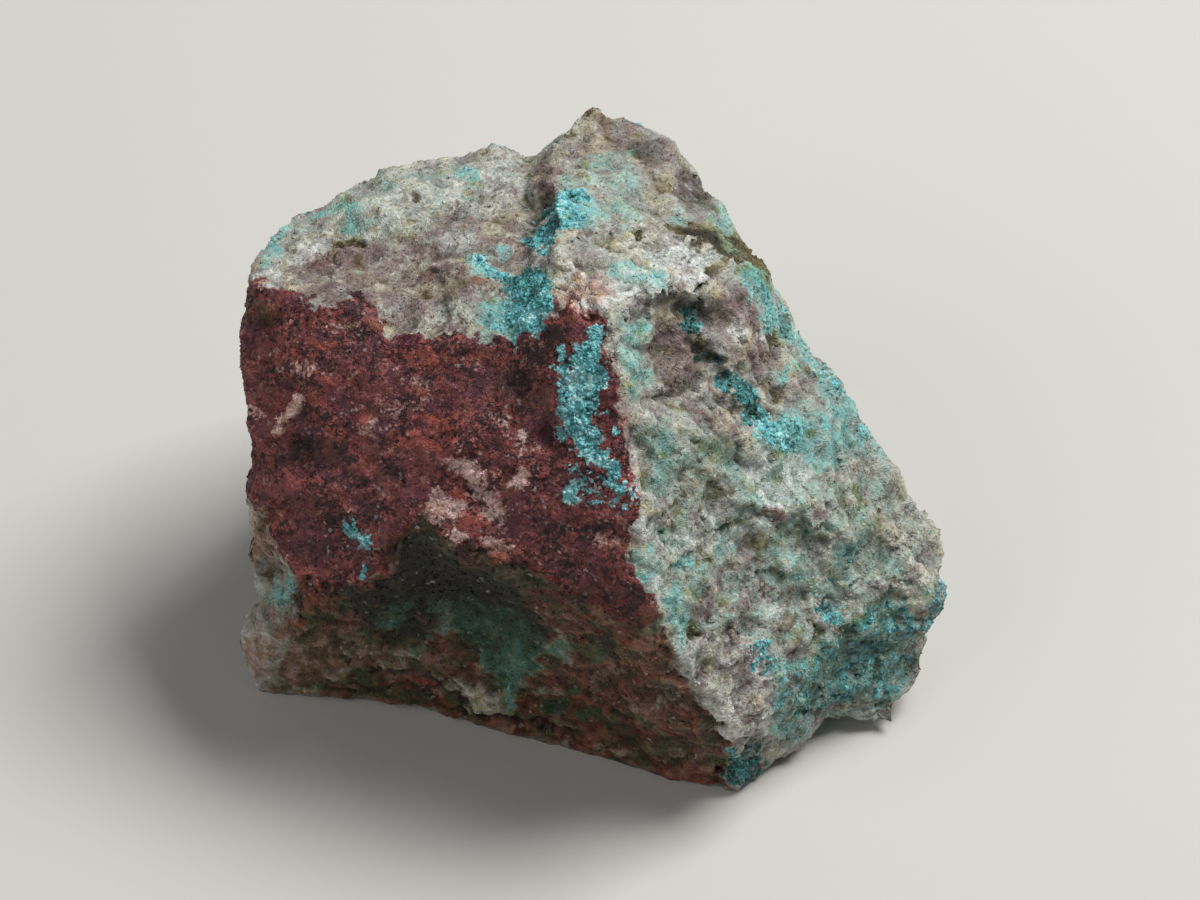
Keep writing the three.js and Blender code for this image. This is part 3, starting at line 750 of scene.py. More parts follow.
# The ajoite that runs down from the cleft and along the right face's upper edge.
AJOITE_RUN_MARKS: tuple[Mark, ...] = (
    *lines(Zone.AJOITE, 0.9, 12.0, ((728, 378), (740, 390), (750, 402), (760, 414))),
    *lines(Zone.DEEP_AND_SHADE, 0.95, 13.0, ((724, 374), (740, 388), (752, 406))),
    *patches(
        Zone.AJOITE, 0.75, 10.0,
        ((744, 418), (768, 410), (800, 426), (806, 448), (788, 452), (762, 438)),
    ),
    *patches(
        Zone.WASH, 0.95, 16.0,
        ((744, 412), (790, 404), (850, 412), (862, 440), (850, 470), (808, 468), (760, 444)),
    ),
    *dabs(Zone.WASH, 0.8, (845, 410, 24, 16, -30), (786, 377, 16, 10), (812, 462, 20, 16, -30)),
    *dabs(Zone.OLIVE, 0.7, (784, 391, 14, 9), (776, 346, 11, 7), (812, 432, 5, 5), (800, 372, 8, 6)),
    *dabs(Zone.DARK_STAIN_AND_SHADE, 0.4, (784, 391, 14, 8), (768, 352, 10, 6)),
    *lines(
        Zone.AJOITE, 0.42, 10.0,
        ((752, 276), (762, 292), (775, 312), (786, 326)), ((796, 335), (816, 362)),
    ),
    *lines(Zone.AJOITE, 0.45, 8.0, ((826, 372), (836, 392)), ((860, 428), (880, 448))),
    *lines(Zone.WASH, 0.9, 16.0, ((752, 276), (775, 312), (800, 345), (835, 390), (882, 450))),
    *dabs(Zone.DEEP_AND_SHADE, 0.35, (758, 280, 10, 9), (786, 318, 8, 9), (832, 384, 8, 12, -30)),
    *dabs(Zone.PALE_AND_PAINTED_LIGHT, 0.5, (745, 335, 16, 12), (775, 342, 16, 8), (800, 330, 10, 12)),
)

# The broad right face: aqua films among pale, mauve and olive mottles, with painted shade in
# its dents.
RIGHT_FACE_MARKS: tuple[Mark, ...] = (
    *patches(
        Zone.WASH, 0.48, 40.0,
        ((640, 400), (740, 430), (860, 430), (930, 560), (900, 720), (770, 760), (680, 640), (640, 520)),
    ),
    *patches(Zone.WASH, 0.85, 14.0, ((622, 320), (648, 325), (646, 400), (632, 410), (622, 380))),
    *patches(
        Zone.WASH, 0.7, 16.0,
        ((640, 420), (700, 425), (715, 450), (690, 490), (650, 500), (640, 460)),
    ),
    *patches(
        Zone.DEEP_AND_SHADE, 0.4, 12.0,
        ((640, 420), (700, 425), (710, 450), (690, 485), (650, 500), (640, 460)),
    ),
    *dabs(Zone.DARK_STAIN_AND_SHADE, 0.3, (655, 448, 14, 20), (790, 514, 24, 12, -10), (880, 542, 28, 18, -20)),
    *dabs(Zone.OLIVE, 0.5, (702, 450, 20, 12), (690, 432, 16, 8), (646, 486, 8, 12), (760, 545, 16, 8)),
    *patches(
        Zone.PALE_AND_PAINTED_LIGHT, 1.3, 10.0,
        ((752, 455), (790, 445), (812, 465), (796, 500), (770, 508), (756, 490)),
    ),
    *layered(DRAB_PATCH, (Zone.DARK_STAIN_AND_SHADE, 0.3), (Zone.OLIVE, 0.35)),
    *dabs(Zone.UMBER_AND_SHADE, 0.4, (788, 514, 26, 12, -10)),
    *dabs(Zone.OLIVE, 0.55, (668, 512, 22, 10), (720, 492, 18, 9), (742, 522, 12, 8), (700, 560, 14, 8)),
    *dabs(Zone.OLIVE, 0.5, (780, 575, 16, 8), (850, 500, 16, 10), (880, 520, 16, 10), (780, 640, 16, 10)),
    *dabs(Zone.PALE_AND_PAINTED_LIGHT, 0.6, (655, 505, 10, 6), (706, 520, 14, 7), (762, 575, 14, 8), (690, 575, 10, 7)),
    *dabs(Zone.MAUVE, 0.95, (788, 514, 30, 16, -10), (832, 472, 22, 18), (715, 420, 30, 10, -10)),
    *lines(Zone.PALE_AND_PAINTED_LIGHT, 0.7, 8.0, ((642, 522), (665, 540), (700, 545), (735, 530)), ((735, 530), (775, 548))),
    *dabs(Zone.PALE_AND_PAINTED_LIGHT, 1.0, (672, 547, 6, 6), (664, 580, 10, 10)),
    *dabs(Zone.WASH, 0.95, (648, 565, 18, 24, -20), (684, 560, 14, 8), (672, 600, 12, 18)),
    *dabs(Zone.AJOITE, 0.4, (642, 566, 10, 14, -20), (684, 628, 8, 14)),
    *lines(Zone.PALE_AND_PAINTED_LIGHT, 0.6, 9.0, ((660, 590), (674, 625), (688, 652), (704, 672))),
    *lines(Zone.WASH, 0.8, 11.0, ((668, 590), (680, 620), (688, 645))),
    *dabs(Zone.MAUVE, 0.95, (703, 598, 15, 22, 10), (760, 590, 24, 14, -20)),
    *dabs(Zone.DARK_STAIN_AND_SHADE, 0.3, (703, 598, 12, 18, 10), (697, 636, 7, 7)),
    *dabs(Zone.OLIVE, 0.85, (696, 632, 11, 9), (726, 604, 10, 8), (816, 632, 10, 6), (835, 624, 6, 5)),
    *dabs(
        Zone.WASH, 0.8,
        (738, 632, 14, 18), (730, 545, 26, 10, -25), (845, 556, 26, 12), (800, 560, 16, 8),
    ),
    *patches(Zone.AJOITE, 0.6, 9.0, ((742, 628), (770, 640), (780, 668), (768, 680), (750, 660))),
    *patches(
        Zone.MAUVE, 0.6, 14.0,
        ((700, 550), (760, 560), (800, 590), (790, 640), (740, 620), (715, 590)),
    ),
    *dabs(Zone.AJOITE, 0.6, (845, 558, 8, 8), (828, 612, 16, 12), (903, 614, 9, 8)),
    *dabs(Zone.DEEP_AND_SHADE, 0.6, (832, 612, 14, 14), (866, 556, 28, 22), (903, 614, 9, 8)),
    *lines(Zone.PALE_AND_PAINTED_LIGHT, 0.5, 6.0, ((820, 585), (850, 580), (885, 578), (905, 560))),
    *dabs(Zone.PALE_AND_PAINTED_LIGHT, 0.6, (812, 596, 16, 10), (775, 610, 16, 12), (740, 575, 14, 8), (858, 590, 12, 7)),
)

# The teal flank at the far right, the pinkish panel below, and the dark foot. The flank's far
# edge and the foot are darkened partly as painted shade.
FLANK_MARKS: tuple[Mark, ...] = (
    *layered(TEAL_FLANK, (Zone.WASH, 0.85), (Zone.AJOITE, 0.42), (Zone.DEEP_AND_SHADE, 0.3)),
    *layered(TEAL_FLANK, (Zone.UMBER_AND_SHADE, 0.15), (Zone.OLIVE, 0.35)),
    *dabs(Zone.DARK_STAIN_AND_SHADE, 0.5, (905, 630, 16, 12), (866, 650, 22, 12, 30), (845, 700, 22, 10, 20)),
    *dabs(Zone.PALE_AND_PAINTED_LIGHT, 0.5, (872, 606, 20, 8), (890, 680, 10, 16, -20), (825, 672, 16, 12)),
    *dabs(Zone.MAUVE, 0.7, (885, 585, 22, 10), (815, 690, 18, 14)),
    *patches(Zone.AJOITE, 0.4, 12.0, ((772, 660), (830, 660), (845, 690), (810, 735), (775, 740))),
    *patches(Zone.WASH, 0.7, 14.0, ((762, 650), (830, 650), (850, 690), (820, 745), (770, 745))),
    *lines(Zone.AJOITE, 0.6, 8.0, ((946, 575), (944, 600), (932, 622))),
    *dabs(Zone.OLIVE, 0.5, (925, 665, 12, 20), (905, 700, 14, 10)),
    *dabs(Zone.DARK_STAIN_AND_SHADE, 0.4, (940, 600, 10, 26)),
    *dabs(Zone.DARK_STAIN_AND_SHADE, 0.3, (918, 670, 20, 28)),
    *patches(
        Zone.WASH, 0.4, 12.0,
        ((900, 700), (915, 690), (925, 640), (940, 630), (945, 560), (920, 560)),
    ),
    *layered(PINKISH_PANEL, (Zone.MAUVE, 0.8), (Zone.WASH, -0.8), (Zone.PALE_AND_PAINTED_LIGHT, 0.45), (Zone.RUST_AND_WARM_LIGHT, 0.35)),
    *lines(Zone.PALE_AND_PAINTED_LIGHT, 0.75, 9.0, ((712, 706), (724, 722), (745, 730), (770, 726))),
    *dabs(Zone.OLIVE, 0.5, (760, 705, 9, 7), (742, 660, 8, 6)),
    *patches(Zone.AJOITE, 0.7, 8.0, ((724, 746), (760, 748), (768, 772), (740, 792), (720, 780))),
    *patches(Zone.DEEP_AND_SHADE, 0.8, 8.0, ((724, 742), (768, 745), (775, 772), (740, 800), (715, 780))),
    *dabs(Zone.DARK_STAIN_AND_SHADE, 0.5, (752, 746, 24, 7), (740, 776, 26, 14)),
)

# The brown lower facet, with a dark green hollow, its teal tail and a mauve flap. The facet's
# brown is partly painted shade; the hollow's dark green is partly painted shadow under the plum
# face's edge, and a crack below it is dark with painted shade.
LOWER_FACET_MARKS: tuple[Mark, ...] = (
    *layered(LOWER_FACET, (Zone.UMBER_AND_SHADE, 0.92), (Zone.OLIVE, 0.55), (Zone.RUST_AND_WARM_LIGHT, 0.5)),
    *dabs(Zone.WASH, 0.75, (560, 676, 12, 9), (600, 660, 14, 8, -30), (590, 712, 14, 9), (622, 735, 14, 8)),
    *dabs(Zone.WASH, 0.7, (664, 726, 10, 12), (535, 715, 12, 9), (345, 640, 16, 8), (325, 690, 14, 6)),
    *dabs(Zone.DEEP_AND_SHADE, 0.6, (560, 676, 14, 11), (600, 660, 16, 10), (590, 712, 16, 11), (622, 735, 16, 10)),
    *dabs(Zone.UMBER_AND_SHADE, -0.6, (305, 668, 46, 36), (405, 660, 36, 16)),
    *layered(DARK_HOLLOW, (Zone.WASH, 1.0), (Zone.DEEP_AND_SHADE, 1.0), (Zone.DARK_STAIN_AND_SHADE, 0.75), (Zone.OLIVE, 0.6)),
    *lines(Zone.DARK_STAIN_AND_SHADE, 0.5, 9.0, ((390, 560), (402, 544), (425, 538), (450, 546), (475, 558), (505, 572))),
    *lines(Zone.DARK_STAIN_AND_SHADE, 0.35, 8.0, ((505, 572), (540, 588), (575, 602))),
    *layered(TEAL_TAIL, (Zone.WASH, 1.2), (Zone.UMBER_AND_SHADE, -0.9), (Zone.DARK_STAIN_AND_SHADE, -0.55), (Zone.DEEP_AND_SHADE, 1.0)),
    *dabs(Zone.PALE_AND_PAINTED_LIGHT, 0.9, (508, 698, 8, 12)),
    *dabs(Zone.WASH, 1.2, (508, 698, 9, 13), (395, 618, 22, 11, 25), (440, 628, 20, 8)),
    *dabs(Zone.AJOITE, 0.5, (510, 690, 8, 16), (395, 620, 12, 6, 25)),
    *dabs(Zone.UMBER_AND_SHADE, -0.95, (508, 700, 10, 14), (558, 648, 12, 14), (395, 618, 22, 12, 25)),
    *dabs(Zone.DARK_STAIN_AND_SHADE, -0.7, (508, 700, 10, 14), (395, 618, 26, 12, 25)),
    *dabs(Zone.DEEP_AND_SHADE, -0.8, (508, 698, 9, 13)),
    *dabs(Zone.DEEP_AND_SHADE, -0.35, (514, 664, 16, 22)),
    *dabs(Zone.DEEP_AND_SHADE, 0.7, (558, 648, 14, 16), (553, 705, 14, 16), (362, 678, 8, 6)),
    *dabs(Zone.WASH, 1.1, (558, 648, 11, 13, -20), (553, 705, 12, 15), (362, 678, 8, 6), (575, 690, 8, 8)),
    *dabs(Zone.MAUVE, 0.95, (450, 655, 24, 28)),
    *dabs(Zone.DARK_STAIN_AND_SHADE, 0.2, (450, 655, 18, 20)),
    Mark(Zone.PALE_AND_PAINTED_LIGHT, LOWER_FLAKE, 0.6),
    *patches(
        Zone.UMBER_AND_SHADE, -0.95, 7.0,
        ((436, 688), (452, 678), (480, 684), (502, 702), (496, 716), (466, 712)),
    ),
    *lines(Zone.DARK_STAIN_AND_SHADE, 0.6, 4.0, ((415, 672), (440, 680), (461, 705), (482, 719), (503, 721), (532, 726))),
    *lines(Zone.PALE_AND_PAINTED_LIGHT, 0.4, 8.0, ((440, 722), (480, 732), (530, 742)), ((600, 768), (690, 786))),
    *lines(Zone.UMBER_AND_SHADE, -0.2, 9.0, ((300, 700), (380, 712), (440, 726), (530, 742), (640, 775), (700, 788))),
    *lines(Zone.RUST_AND_WARM_LIGHT, 1.1, 12.0, ((300, 700), (380, 712), (440, 728), (530, 748), (640, 778), (700, 788))),
    *dabs(Zone.WASH, 0.6, (418, 654, 18, 10), (532, 640, 10, 14)),
    *dabs(Zone.PALE_AND_PAINTED_LIGHT, 0.4, (418, 654, 16, 9), (532, 687, 10, 12), (612, 752, 14, 8), (642, 722, 12, 8)),
    *dabs(Zone.RUST_AND_WARM_LIGHT, 0.6, (470, 698, 30, 12)),
    *dabs(Zone.PALE_AND_PAINTED_LIGHT, 1.1, (472, 697, 24, 9, -25)),
    *dabs(Zone.OLIVE, 0.25, (470, 700, 24, 8)),
    *dabs(
        Zone.RUST_AND_WARM_LIGHT, 1.0,
        (310, 665, 34, 26), (418, 692, 20, 10), (542, 602, 24, 10, -25), (290, 630, 14, 12),
    ),
    *dabs(
        Zone.OLIVE, 0.6,
        (620, 700, 50, 30), (345, 645, 18, 6, -30), (575, 712, 12, 8), (660, 740, 16, 8),
    ),
    *dabs(Zone.DARK_STAIN_AND_SHADE, 0.3, (600, 680, 30, 16, -30), (660, 712, 12, 16), (700, 760, 16, 14)),
    *dabs(Zone.RUST_AND_WARM_LIGHT, 1.0, (640, 690, 30, 20), (590, 720, 20, 10), (400, 682, 26, 12), (680, 740, 14, 12)),
    *dabs(Zone.UMBER_AND_SHADE, -0.5, (640, 690, 14, 8), (600, 700, 9, 6), (560, 730, 14, 7), (400, 684, 12, 7)),
    *dabs(Zone.UMBER_AND_SHADE, -0.5, (350, 676, 14, 7), (664, 700, 8, 10), (618, 752, 16, 6), (676, 760, 14, 7)),
)

# The beige lobe at the lower left corner, made paler and warmer as painted light, with painted
# shade in its pit.
LEFT_LOBE_MARKS: tuple[Mark, ...] = (
    *patches(
        Zone.UMBER_AND_SHADE, 0.4, 10.0,
        ((225, 490), (262, 505), (285, 560), (300, 590), (290, 640), (275, 700), (225, 700)),
    ),
    *patches(Zone.PALE_AND_PAINTED_LIGHT, 0.3, 8.0, ((240, 500), (262, 505), (285, 560), (278, 575), (245, 570), (236, 540))),
    *dabs(Zone.UMBER_AND_SHADE, -0.9, (256, 662, 24, 36), (262, 545, 14, 20)),
    *dabs(Zone.RUST_AND_WARM_LIGHT, 0.8, (256, 660, 24, 38), (262, 540, 18, 26)),
    *dabs(Zone.OLIVE, 0.45, (256, 660, 20, 30), (262, 545, 16, 24)),
    *dabs(Zone.OLIVE, 0.7, (248, 555, 11, 9), (262, 530, 12, 20), (260, 627, 8, 7), (270, 575, 9, 8)),
    *dabs(Zone.WASH, 0.95, (284, 590, 18, 18, -30)),
    *dabs(Zone.AJOITE, 0.55, (288, 596, 9, 9)),
    *dabs(Zone.RUST_AND_WARM_LIGHT, 0.6, (266, 612, 12, 14), (290, 632, 12, 14), (268, 680, 14, 14)),
    *patches(Zone.PALE_AND_PAINTED_LIGHT, 1.05, 8.0, ((236, 640), (258, 622), (272, 640), (265, 690), (245, 692))),
    *dabs(Zone.DARK_STAIN_AND_SHADE, 0.8, (308, 582, 9, 12)),
    *dabs(Zone.DENT, 0.8, (308, 584, 9, 10), (298, 610, 8, 8)),
)

# All marks, in the order they are put, since one that clears takes away only what came before it.
MARKS: tuple[Mark, ...] = (
    *BREAK_MARKS,
    *CROWN_MARKS,
    *PLUM_FACE_MARKS,
    *HINGE_MARKS,
    *POCKET_MARKS,
    *PEAK_MARKS,
    *LEDGE_MARKS,
    *AJOITE_RUN_MARKS,
    *RIGHT_FACE_MARKS,
    *FLANK_MARKS,
    *LOWER_FACET_MARKS,
    *LEFT_LOBE_MARKS,
)


@dataclass(frozen=True)
class HiddenSides:
    """How the zones are spread where the photograph doesn't show the chunk; sizes in millimetres."""

    ajoite_period: float = 7.0
    patch_period: float = 5.0
    speck_period: float = 1.6
    seam_period: float = 6.0
    seam_wide: float = 0.12
    rust_period: float = 8.0
    umber_period: float = 4.0
    joint_full_below: float = 11.0
    joint_gone_above: float = 17.0

    def shares(self, points: np.ndarray, normals: np.ndarray) -> dict[Zone, np.ndarray]:
        """Spreads each zone by noise.

        Args:
            points: One row of x, y, z for each point, in millimetres.
            normals: The outward direction at each point.

        Returns:
            A share from 0 to 1 at each point, for each zone.
        """
        drift = cloud(points, self.ajoite_period, octaves=4, seed=21)
        patch = cloud(points, self.patch_period, octaves=4, seed=22)
        speck = cloud(points, self.speck_period, octaves=3, seed=23)
        seam = 1.0 - np.abs(cloud(points, self.seam_period, octaves=3, seed=24)) / self.seam_wide
        rust = cloud(points, self.rust_period, octaves=3, seed=25)
        umber = cloud(points, self.umber_period, octaves=3, seed=26)
        low = ease(self.joint_gone_above, self.joint_full_below, points[:, 2])
        left_joint = ease(0.55, 0.85, -normals[:, 0]) * low
        none = np.zeros(len(points))
        # Each zone rises over a range of its noise, up to the most that lies there.
        return {
            Zone.PLUM: left_joint * ease(-0.2, 0.15, patch),
            Zone.AJOITE: np.maximum(ease(0.18, 0.6, drift) * 0.8, ease(0.0, 1.0, seam) * 0.6),
            Zone.DEEP_AND_SHADE: ease(-0.1, 0.5, speck + patch * 0.6) * 0.7,
            Zone.PALE_AND_PAINTED_LIGHT: ease(0.0, 0.6, patch) * 0.6,
            Zone.MAUVE: ease(0.05, -0.45, patch) * 0.9,
            Zone.OLIVE: ease(0.3, 0.7, speck) * 0.8,
            Zone.RUST_AND_WARM_LIGHT: ease(0.25, 0.7, rust) * 0.6,
            Zone.DARK_STAIN_AND_SHADE: none,
            Zone.UMBER_AND_SHADE: ease(0.0, 0.6, umber) * 0.5,
            Zone.WASH: ease(-0.2, 0.4, drift) * 0.5,
            Zone.RUGGED: ease(-0.3, 0.3, patch),
            Zone.DENT: none,
            Zone.SWELL: none,
        }


@dataclass(frozen=True)
class MarkedRock:
    """Works out how much of each zone lies at any point of the chunk."""

    view: PhotoView
    hidden: HiddenSides
    wander_px: float = 11.0
    wander_period: float = 1.3
    hidden_facing: float = -0.3
    seen_facing: float = 0.0

    def shares(self, points: np.ndarray, normals: np.ndarray) -> dict[Zone, np.ndarray]:
        """Puts the marks on the seen side and noise on the rest.

        Args:
            points: One row of x, y, z for each point, in millimetres.
            normals: The outward direction at each point.

        Returns:
            A share from 0 to 1 at each point, for each zone.
        """
        places = self.view.places(points)
        for axis in range(2):
            wander = cloud(points, self.wander_period, octaves=4, seed=31 + axis, rough=0.3)
            places[:, axis] += wander * self.wander_px
        shares = {zone: np.zeros(len(points)) for zone in Zone}
        for mark in MARKS:
            mark.put(shares[mark.zone], places)
        seen = ease(self.hidden_facing, self.seen_facing, self.view.facing(normals))
        unseen = np.flatnonzero(seen < 1.0)
        spread = self.hidden.shares(points[unseen], normals[unseen])
        for zone in Zone:
            shares[zone] *= seen
            shares[zone][unseen] += (1.0 - seen[unseen]) * spread[zone]
        return shares


@dataclass
class FineMesh:
    """A closed triangle mesh in millimetres that can be cut finer, rounded and moved."""

    points: np.ndarray
    triangles: np.ndarray
    pull: float = 0.5

    @classmethod
    def of_node(cls, node: bpy.types.Object) -> "FineMesh":
        """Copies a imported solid's mesh, with its corners welded.

        Args:
            node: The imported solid's object.

        Returns:
            Its mesh in millimetres.
        """
        work = bmesh.new()
        work.from_mesh(node.data)
        bmesh.ops.triangulate(work, faces=work.faces[:])
        bmesh.ops.remove_doubles(work, verts=work.verts[:], dist=WELD_DISTANCE)
        work.verts.ensure_lookup_table()
        points = np.array([vertex.co[:] for vertex in work.verts]) / MM
        triangles = np.array([[v.index for v in face.verts] for face in work.faces])
        work.free()
        return cls(points, triangles)

    def normals(self) -> np.ndarray:
        """Works out the outward direction at each point.

        Returns:
            One direction for each point, 1 long.
        """
        corners = self.points[self.triangles]
        crosses = np.cross(corners[:, 1] - corners[:, 0], corners[:, 2] - corners[:, 0])
        sums = self.gather(self.triangles.T.ravel(), np.tile(crosses, (3, 1)))
        shortest = 1e-12
        return sums / np.maximum(np.linalg.norm(sums, axis=1), shortest)[:, None]

    def gather(self, which: np.ndarray, rows: np.ndarray) -> np.ndarray:
        """Adds up rows of x, y, z that belong to the same point.

        Args:
            which: The point that each row belongs to.
            rows: The rows.

        Returns:
            One sum for each point.
        """
        number = len(self.points)
        return np.column_stack([np.bincount(which, rows[:, axis], number) for axis in range(3)])

    def edges(self) -> tuple[np.ndarray, np.ndarray]:
        """Lists each edge once.

        Returns:
            The two points of each edge, and which edge each side of each triangle is.
        """
        sides = np.concatenate([self.triangles[:, ends] for ends in ([0, 1], [1, 2], [2, 0])])
        edges, which = np.unique(np.sort(sides, axis=1), axis=0, return_inverse=True)
        return edges, which.reshape(3, -1).T

    def cut_finer(self, longest: np.ndarray) -> bool:
        """Cuts at its middle each edge longer than the limit at its ends.

        Args:
            longest: The longest edge wanted at each point.

        Returns:
            Whether anything was cut.
        """
        edges, sides = self.edges()
        lengths = np.linalg.norm(self.points[edges[:, 0]] - self.points[edges[:, 1]], axis=1)
        cut = lengths > longest[edges].mean(axis=1)
        if not cut.any():
            return False
        middle_of = np.full(len(edges), -1)
        middle_of[cut] = len(self.points) + np.arange(cut.sum())
        self.points = np.concatenate([self.points, self.points[edges[cut]].mean(axis=1)])
        middles = middle_of[sides]
        counts = (middles >= 0).sum(axis=1)
        parts = [self.triangles[counts == 0]]
        for count in (1, 2, 3):
            chosen = counts == count
            parts.extend(self.split(self.triangles[chosen], middles[chosen], count))
        self.triangles = np.concatenate(parts)
        return True

    def split(self, corners: np.ndarray, middles: np.ndarray, count: int) -> list[np.ndarray]:
        """Splits triangles that have the same number of cut sides.

        Args:
            corners: The three points of each triangle.
            middles: The new point on each of its sides, or -1.
            count: How many of its sides are cut.

        Returns:
            Lists of smaller triangles.
        """
        if count == 3:
            a, b, c = corners.T
            ab, bc, ca = middles.T
            return [np.column_stack(part) for part in ((a, ab, ca), (b, bc, ab), (c, ca, bc), (ab, bc, ca))]
        first = np.argmax(middles >= 0, axis=1) if count == 1 else (np.argmin(middles, axis=1) + 1) % 3
        order = (first[:, None] + np.arange(3)) % 3
        rows = np.arange(len(corners))[:, None]
        a, b, c = corners[rows, order].T
        ab, bc, _ = middles[rows, order].T
        if count == 1:
            return [np.column_stack(part) for part in ((a, ab, c), (ab, b, c))]
        return [np.column_stack(part) for part in ((a, ab, c), (ab, b, bc), (ab, bc, c))]

    def rounded(self, steps: int) -> np.ndarray:
        """Gives the points moved toward their neighbours.

        Args:
            steps: How many times they move, each time by the share pull of the way.

        Returns:
            The moved points.
        """
        edges, _ = self.edges()
        ends = edges.T.ravel()
        others = edges[:, ::-1].T.ravel()
        counts = np.bincount(ends, minlength=len(self.points))[:, None]
        points = self.points.copy()
        for _ in range(steps):
            points += (self.gather(ends, points[others]) / counts - points) * self.pull
        return points


@dataclass
class ChunkSkin:
    """The stone's whole outside: one closed mesh with its ledges, chips, lumps and pits.

    Sizes are in millimetres. The photograph's side is cut finer than the hidden sides, and the
    flat that the chunk rests on coarser still. Chips and flakes lie along the fabric, the
    direction in which the rock splits, which slants down to the right in the view.
    """

    marked: MarkedRock
    seen_edge: float = 0.26
    hidden_edge: float = 0.46
    resting_edge: float = 0.8
    hidden_facing: float = -0.25
    seen_facing: float = 0.1
    cut_rounds: int = 8
    floor_gap: float = 1e-3
    rounding_steps: int = 7
    crest_steps: int = 24
    plain_rough: float = 0.7
    plum_smoother: float = 0.1
    rugged_rougher: float = 0.6
    umber_rougher: float = 0.3
    lump_period: float = 2.8
    lump_height: float = 0.17
    chip_period: float = 1.25
    chip_height: float = 0.24
    flake_period: float = 0.6
    flake_height: float = 0.07
    grit_period: float = 0.5
    grit_height: float = 0.07
    dent_depth: float = 0.5
    swell_height: float = 0.4
    bend_period: float = 1.1
    bend_reach: tuple[float, float, float] = (0.3, 0.25, 0.3)
    gap_depth: float = 0.015
    crack_depth: float = 0.01
    crust_height: float = 0.04
    worn_depth: float = 0.05
    fabric_deg: float = 32.0
    fabric_stretch: float = 0.45
    umber_compact: float = 0.7

    def build(self, node: bpy.types.Object) -> tuple[bpy.types.Object, FineMesh, dict[str, np.ndarray]]:
        """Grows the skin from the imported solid.

        Args:
            node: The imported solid's object, which stays as it is.

        Returns:
            The skin's object, its mesh in millimetres, and the numbers kept at its points.
        """
        mesh = FineMesh.of_node(node)
        low, high = mesh.points.min(axis=0), mesh.points.max(axis=0)
        self.refine(mesh)
        resting = mesh.points[:, 2] < self.floor_gap
        rounded = mesh.rounded(self.rounding_steps)
        rounded[resting, 2] = 0.0
        mesh.points = rounded
        normals = mesh.normals()
        shares = self.marked.shares(mesh.points, normals)
        relief = self.relief(mesh.points, normals, shares)
        relief[resting] = 0.0
        moved = mesh.points + normals * relief[:, None]
        mesh.points = np.clip(moved, low, high)
        LOG.info("stone skin has %d triangles", len(mesh.triangles))
        kept = {zone.value: share for zone, share in shares.items()}
        smoothed = mesh.rounded(self.crest_steps)
        kept[CREST] = ((mesh.points - smoothed) * mesh.normals()).sum(axis=1)
        return make_piece("stone_skin", mesh.points, mesh.triangles, kept), mesh, kept

    def refine(self, mesh: FineMesh) -> None:
        """Cuts the mesh finer, most where the photograph shows it.

        Args:
            mesh: The mesh, which is changed.
        """
        for _ in range(self.cut_rounds):
            facing = self.marked.view.facing(mesh.normals())
            seen = ease(self.hidden_facing, self.seen_facing, facing)
            longest = self.hidden_edge + (self.seen_edge - self.hidden_edge) * seen
            longest[mesh.points[:, 2] < self.floor_gap] = self.resting_edge
            if not mesh.cut_finer(longest):
                break

    def relief(self, points: np.ndarray, normals: np.ndarray, shares: dict[Zone, np.ndarray]) -> np.ndarray:
        """Works out how far each point of the skin moves outward.

        Args:
            points: The rounded skin's points.
            normals: Their outward directions.
            shares: The zones at the points.

        Returns:
            Distances in millimetres.
        """
        plum = shares[Zone.PLUM]
        rough = self.plain_rough - self.plum_smoother * plum
        rough = rough + self.rugged_rougher * shares[Zone.RUGGED] + self.umber_rougher * shares[Zone.UMBER_AND_SHADE]
        right, up, _ = self.marked.view.axes()
        slant = math.radians(self.fabric_deg)
        fabric = right * math.cos(slant) - up * math.sin(slant)
        lying = fabric + plum[:, None] * (right - fabric)
        drawn = (self.fabric_stretch * (1.0 - self.umber_compact * shares[Zone.UMBER_AND_SHADE]))[:, None]
        laid = points - lying * (points * lying).sum(axis=1)[:, None] * drawn
        bends = cloud(points, self.bend_period, octaves=3, seed=5, rough=0.3)
        bend = bends[:, None] * np.array(self.bend_reach)
        chips, gaps = shards(laid + bend, self.chip_period, seed=1)
        flakes, cracks = shards(laid - bend, self.flake_period, seed=2)
        height = ridges(laid, self.lump_period, octaves=4, seed=3) * self.lump_height * rough
        height += chips * self.chip_height * rough - gaps * self.gap_depth
        height += flakes * self.flake_height * rough - cracks * self.crack_depth
        height += cloud(laid, self.grit_period, octaves=3, seed=4, rough=0.5) * self.grit_height
        height -= shares[Zone.DENT] * self.dent_depth
        height += shares[Zone.SWELL] * self.swell_height
        height += shares[Zone.AJOITE] * self.crust_height
        return height - self.worn_depth


